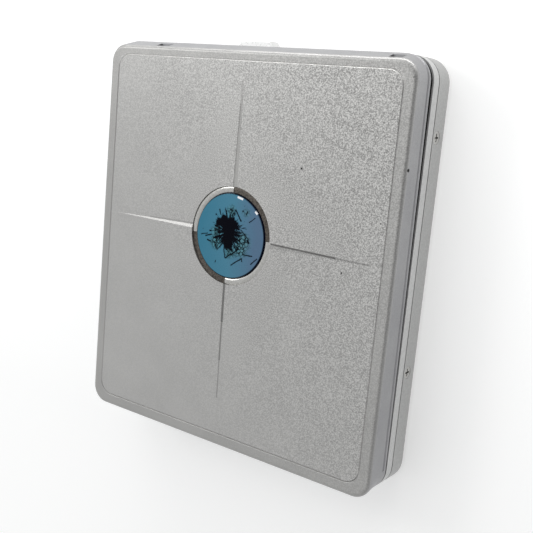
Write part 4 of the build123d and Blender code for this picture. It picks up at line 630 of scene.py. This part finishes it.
# short hairs that stand out all round the black middle
x, y = jewelSet["hairCentre"]
fromMiddle = addNode(tree, "ShaderNodeVectorMath", {"operation": "SUBTRACT"}, {
    0: bent, 1: (x * mm, y * mm, 0.0)})
flatFrom = addNode(tree, "ShaderNodeVectorMath", {"operation": "MULTIPLY"}, {
    0: (fromMiddle, 0), 1: (1.0, 1.0, 0.0)})
reach = addNode(tree, "ShaderNodeVectorMath", {"operation": "LENGTH"}, {0: (flatFrom, 0)})
sides = addNode(tree, "ShaderNodeSeparateXYZ", inputs={0: (flatFrom, 0)})
turn = addNode(tree, "ShaderNodeMath", {"operation": "ARCTAN2"}, {0: (sides, "Y"), 1: (sides, "X")})
polar = addNode(tree, "ShaderNodeCombineXYZ", inputs={"X": (turn, 0), "Y": (reach, "Value")})
stretched = addNode(tree, "ShaderNodeMapping", inputs={
    "Vector": (polar, 0), "Scale": jewelSet["hairScale"]})
hair = addNode(tree, "ShaderNodeTexNoise", inputs={
    "Vector": (stretched, 0), "Scale": 1.0, "Detail": 3.0, "Roughness": 0.7})
low, high = jewelSet["hairReachMm"]
hairFade = addNode(tree, "ShaderNodeMapRange", inputs={
    "Value": (reach, "Value"), "From Min": low * mm, "From Max": high * mm,
    "To Min": 0.12, "To Max": -0.16})
hairSum = addNode(tree, "ShaderNodeMath", {"operation": "ADD"}, {0: (hair, 0), 1: (hairFade, 0)})
hairs = addNode(tree, "ShaderNodeMapRange", inputs={
    "Value": (hairSum, 0), "From Min": 0.5, "From Max": 0.56, "To Min": 0.0, "To Max": 1.0})

# a net of cracks in the crazed patches, and single scratches
web = addNode(tree, "ShaderNodeTexVoronoi", {"feature": "DISTANCE_TO_EDGE"}, {
    "Vector": bent, "Scale": perMm(jewelSet["webMm"]), "Randomness": 1.0})
webLine = addNode(tree, "ShaderNodeMapRange", inputs={
    "Value": (web, "Distance"), "From Min": 0.05, "From Max": 0.16, "To Min": 1.0, "To Max": 0.0})
webPart = addNode(tree, "ShaderNodeMath", {"operation": "MULTIPLY"}, {0: (webLine, 0), 1: webs})
paler = addNode(tree, "ShaderNodeMath", {"operation": "MULTIPLY"}, {0: webs, 1: jewelSet["crazedTone"]})
scratches = [lineMark(tree, bent, start, end, width, jewelSet["scratchSoftMm"])
             for start, end, width in jewelSet["scratches"]]
worn = joinMarks(tree, [cores, (hairs, 0), (webPart, 0)] + scratches)

# painted shade on the film's edge, two painted highlights on it, and painted shade on the side below the
# face
x, y = jewelSet["centre"]
flat = addNode(tree, "ShaderNodeVectorMath", {"operation": "MULTIPLY"}, {0: here, 1: (1.0, 1.0, 0.0)})
outwards = addNode(tree, "ShaderNodeVectorMath", {"operation": "DISTANCE"}, {
    0: (flat, 0), 1: (x * mm, y * mm, 0.0)})
edge = addNode(tree, "ShaderNodeMapRange", inputs={
    "Value": (outwards, "Value"), "From Min": (jewelSet["rimMm"] - 0.1) * mm,
    "From Max": (jewelSet["rimMm"] + 0.08) * mm, "To Min": 0.0, "To Max": 1.0})
# painted highlights on the rim
chips = joinMarks(tree, [lineMark(tree, here, start, end, width, jewelSet["glintSoftMm"])
                         for start, end, width in jewelSet["chips"]])
low = addNode(tree, "ShaderNodeMapRange", inputs={
    "Value": (axes, "Z"), "From Min": (jewelSet["sideTopMm"] - 0.05) * mm,
    "From Max": (jewelSet["sideTopMm"] + 0.05) * mm, "To Min": 1.0, "To Max": 0.0})

last = (film, 0)
for amount, colour in (
        ((paler, 0), "crazed"), (worn, "worn"), ((edge, 0), "rim"), (chips, "chip"), ((low, 0), "side")):
    last = (addNode(tree, "ShaderNodeMix", {"data_type": "RGBA"}, {
        "Factor": amount, 6: last, 7: jewelSet[colour]}), 2)
tree.links.new(last[0].outputs[last[1]], shader.inputs["Base Color"])
dull = addNode(tree, "ShaderNodeMapRange", inputs={
    "Value": worn, "From Min": 0.0, "From Max": 1.0,
    "To Min": jewelSet["roughPolished"], "To Max": jewelSet["roughWorn"]})
tree.links.new(dull.outputs[0], shader.inputs["Roughness"])
shader.inputs["Metallic"].default_value = jewelSet["metallic"]
shader.inputs["Specular IOR Level"].default_value = jewelSet["specular"]
dress("jewel", jewelBlue)
print("jewel done")

# plated ring in four quarters: two polished and round like a bead, two flat and dark; the dark quarters'
# colour is partly their darker plating and partly painted shade of the recessed quarters
ringSet = {
    "centre": (-0.4, 3.38),
    "splitsDeg": (2.0, 90.0, 183.5, 267.0, 362.0),
    "gapDeg": 0.6,
    "steps": 40,
    # distance from the centre and height along the top
    "round": [
        (8.46, 13.8), (8.58, 13.9), (8.8, 13.96), (9.05, 13.98), (9.3, 13.96), (9.55, 13.92),
        (9.71, 13.87),
    ],
    "flat": [(8.46, 13.78), (8.55, 13.86), (9.6, 13.9), (9.71, 13.84)],
    "smoothDeg": 35.0,
}


def ringQuarter(shape, outline, footMm, firstDeg, lastDeg):
    # one closed outline turned through a quarter, with its two ends still open
    x, y = ringSet["centre"]
    centre = Vector((x, y, 0.0)) * mm
    corners = [(outline[0][0], footMm)] + outline + [(outline[-1][0], footMm)]
    verts = [shape.verts.new(((x + r) * mm, y * mm, z * mm)) for r, z in corners]
    edges = [shape.edges.new((verts[i - 1], verts[i])) for i in range(len(verts))]
    bmesh.ops.rotate(shape, verts=verts, cent=centre,
                     matrix=Matrix.Rotation(math.radians(firstDeg), 3, "Z"))
    bmesh.ops.spin(shape, geom=verts + edges, cent=centre, axis=(0.0, 0.0, 1.0),
                   dvec=(0.0, 0.0, 0.0), angle=math.radians(lastDeg - firstDeg),
                   steps=ringSet["steps"], use_merge=False)


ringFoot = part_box("jewel_ring_bright")[0][2] / mm
ringFinishes = {
    "ring_polished_quarters": ("jewel_ring_bright", "ring_polished", "round", (1, 3), plainFinish(
        "polished_nickel_ring", "#bdbcb9", "#acaba7", 0.5, 0.2, metallic=1.0, bump=0.03)),
    # dark quarters: darker plating plus painted shade
    "ring_dark_quarters": ("jewel_ring_dark", "ring_brown", "flat", (0, 2), plainFinish(
        "dark_nickel_and_shade_ring", "#6a645d", "#3f3b37", 0.35, 0.4, metallic=0.8, bump=0.3)),
}
halfGap = ringSet["gapDeg"] / 2
for name, (node, slot, outline, quarters, finish) in ringFinishes.items():
    shape = bmesh.new()
    for quarter in quarters:
        first, last = ringSet["splitsDeg"][quarter:quarter + 2]
        ringQuarter(shape, ringSet[outline], ringFoot, first + halfGap, last - halfGap)
    bmesh.ops.holes_fill(shape, edges=[edge for edge in shape.edges if edge.is_boundary], sides=0)
    bmesh.ops.recalc_face_normals(shape, faces=shape.faces)
    mesh = bpy.data.meshes.new(name)
    shape.to_mesh(mesh)
    shape.free()
    mesh.shade_smooth()
    mesh.set_sharp_from_angle(angle=math.radians(ringSet["smoothDeg"]))
    mesh.materials.append(finish)
    ring = bpy.data.objects.new(name, mesh)
    bpy.context.scene.collection.objects.link(ring)
    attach(ring, "lid")
    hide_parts(node)
print("ring done")
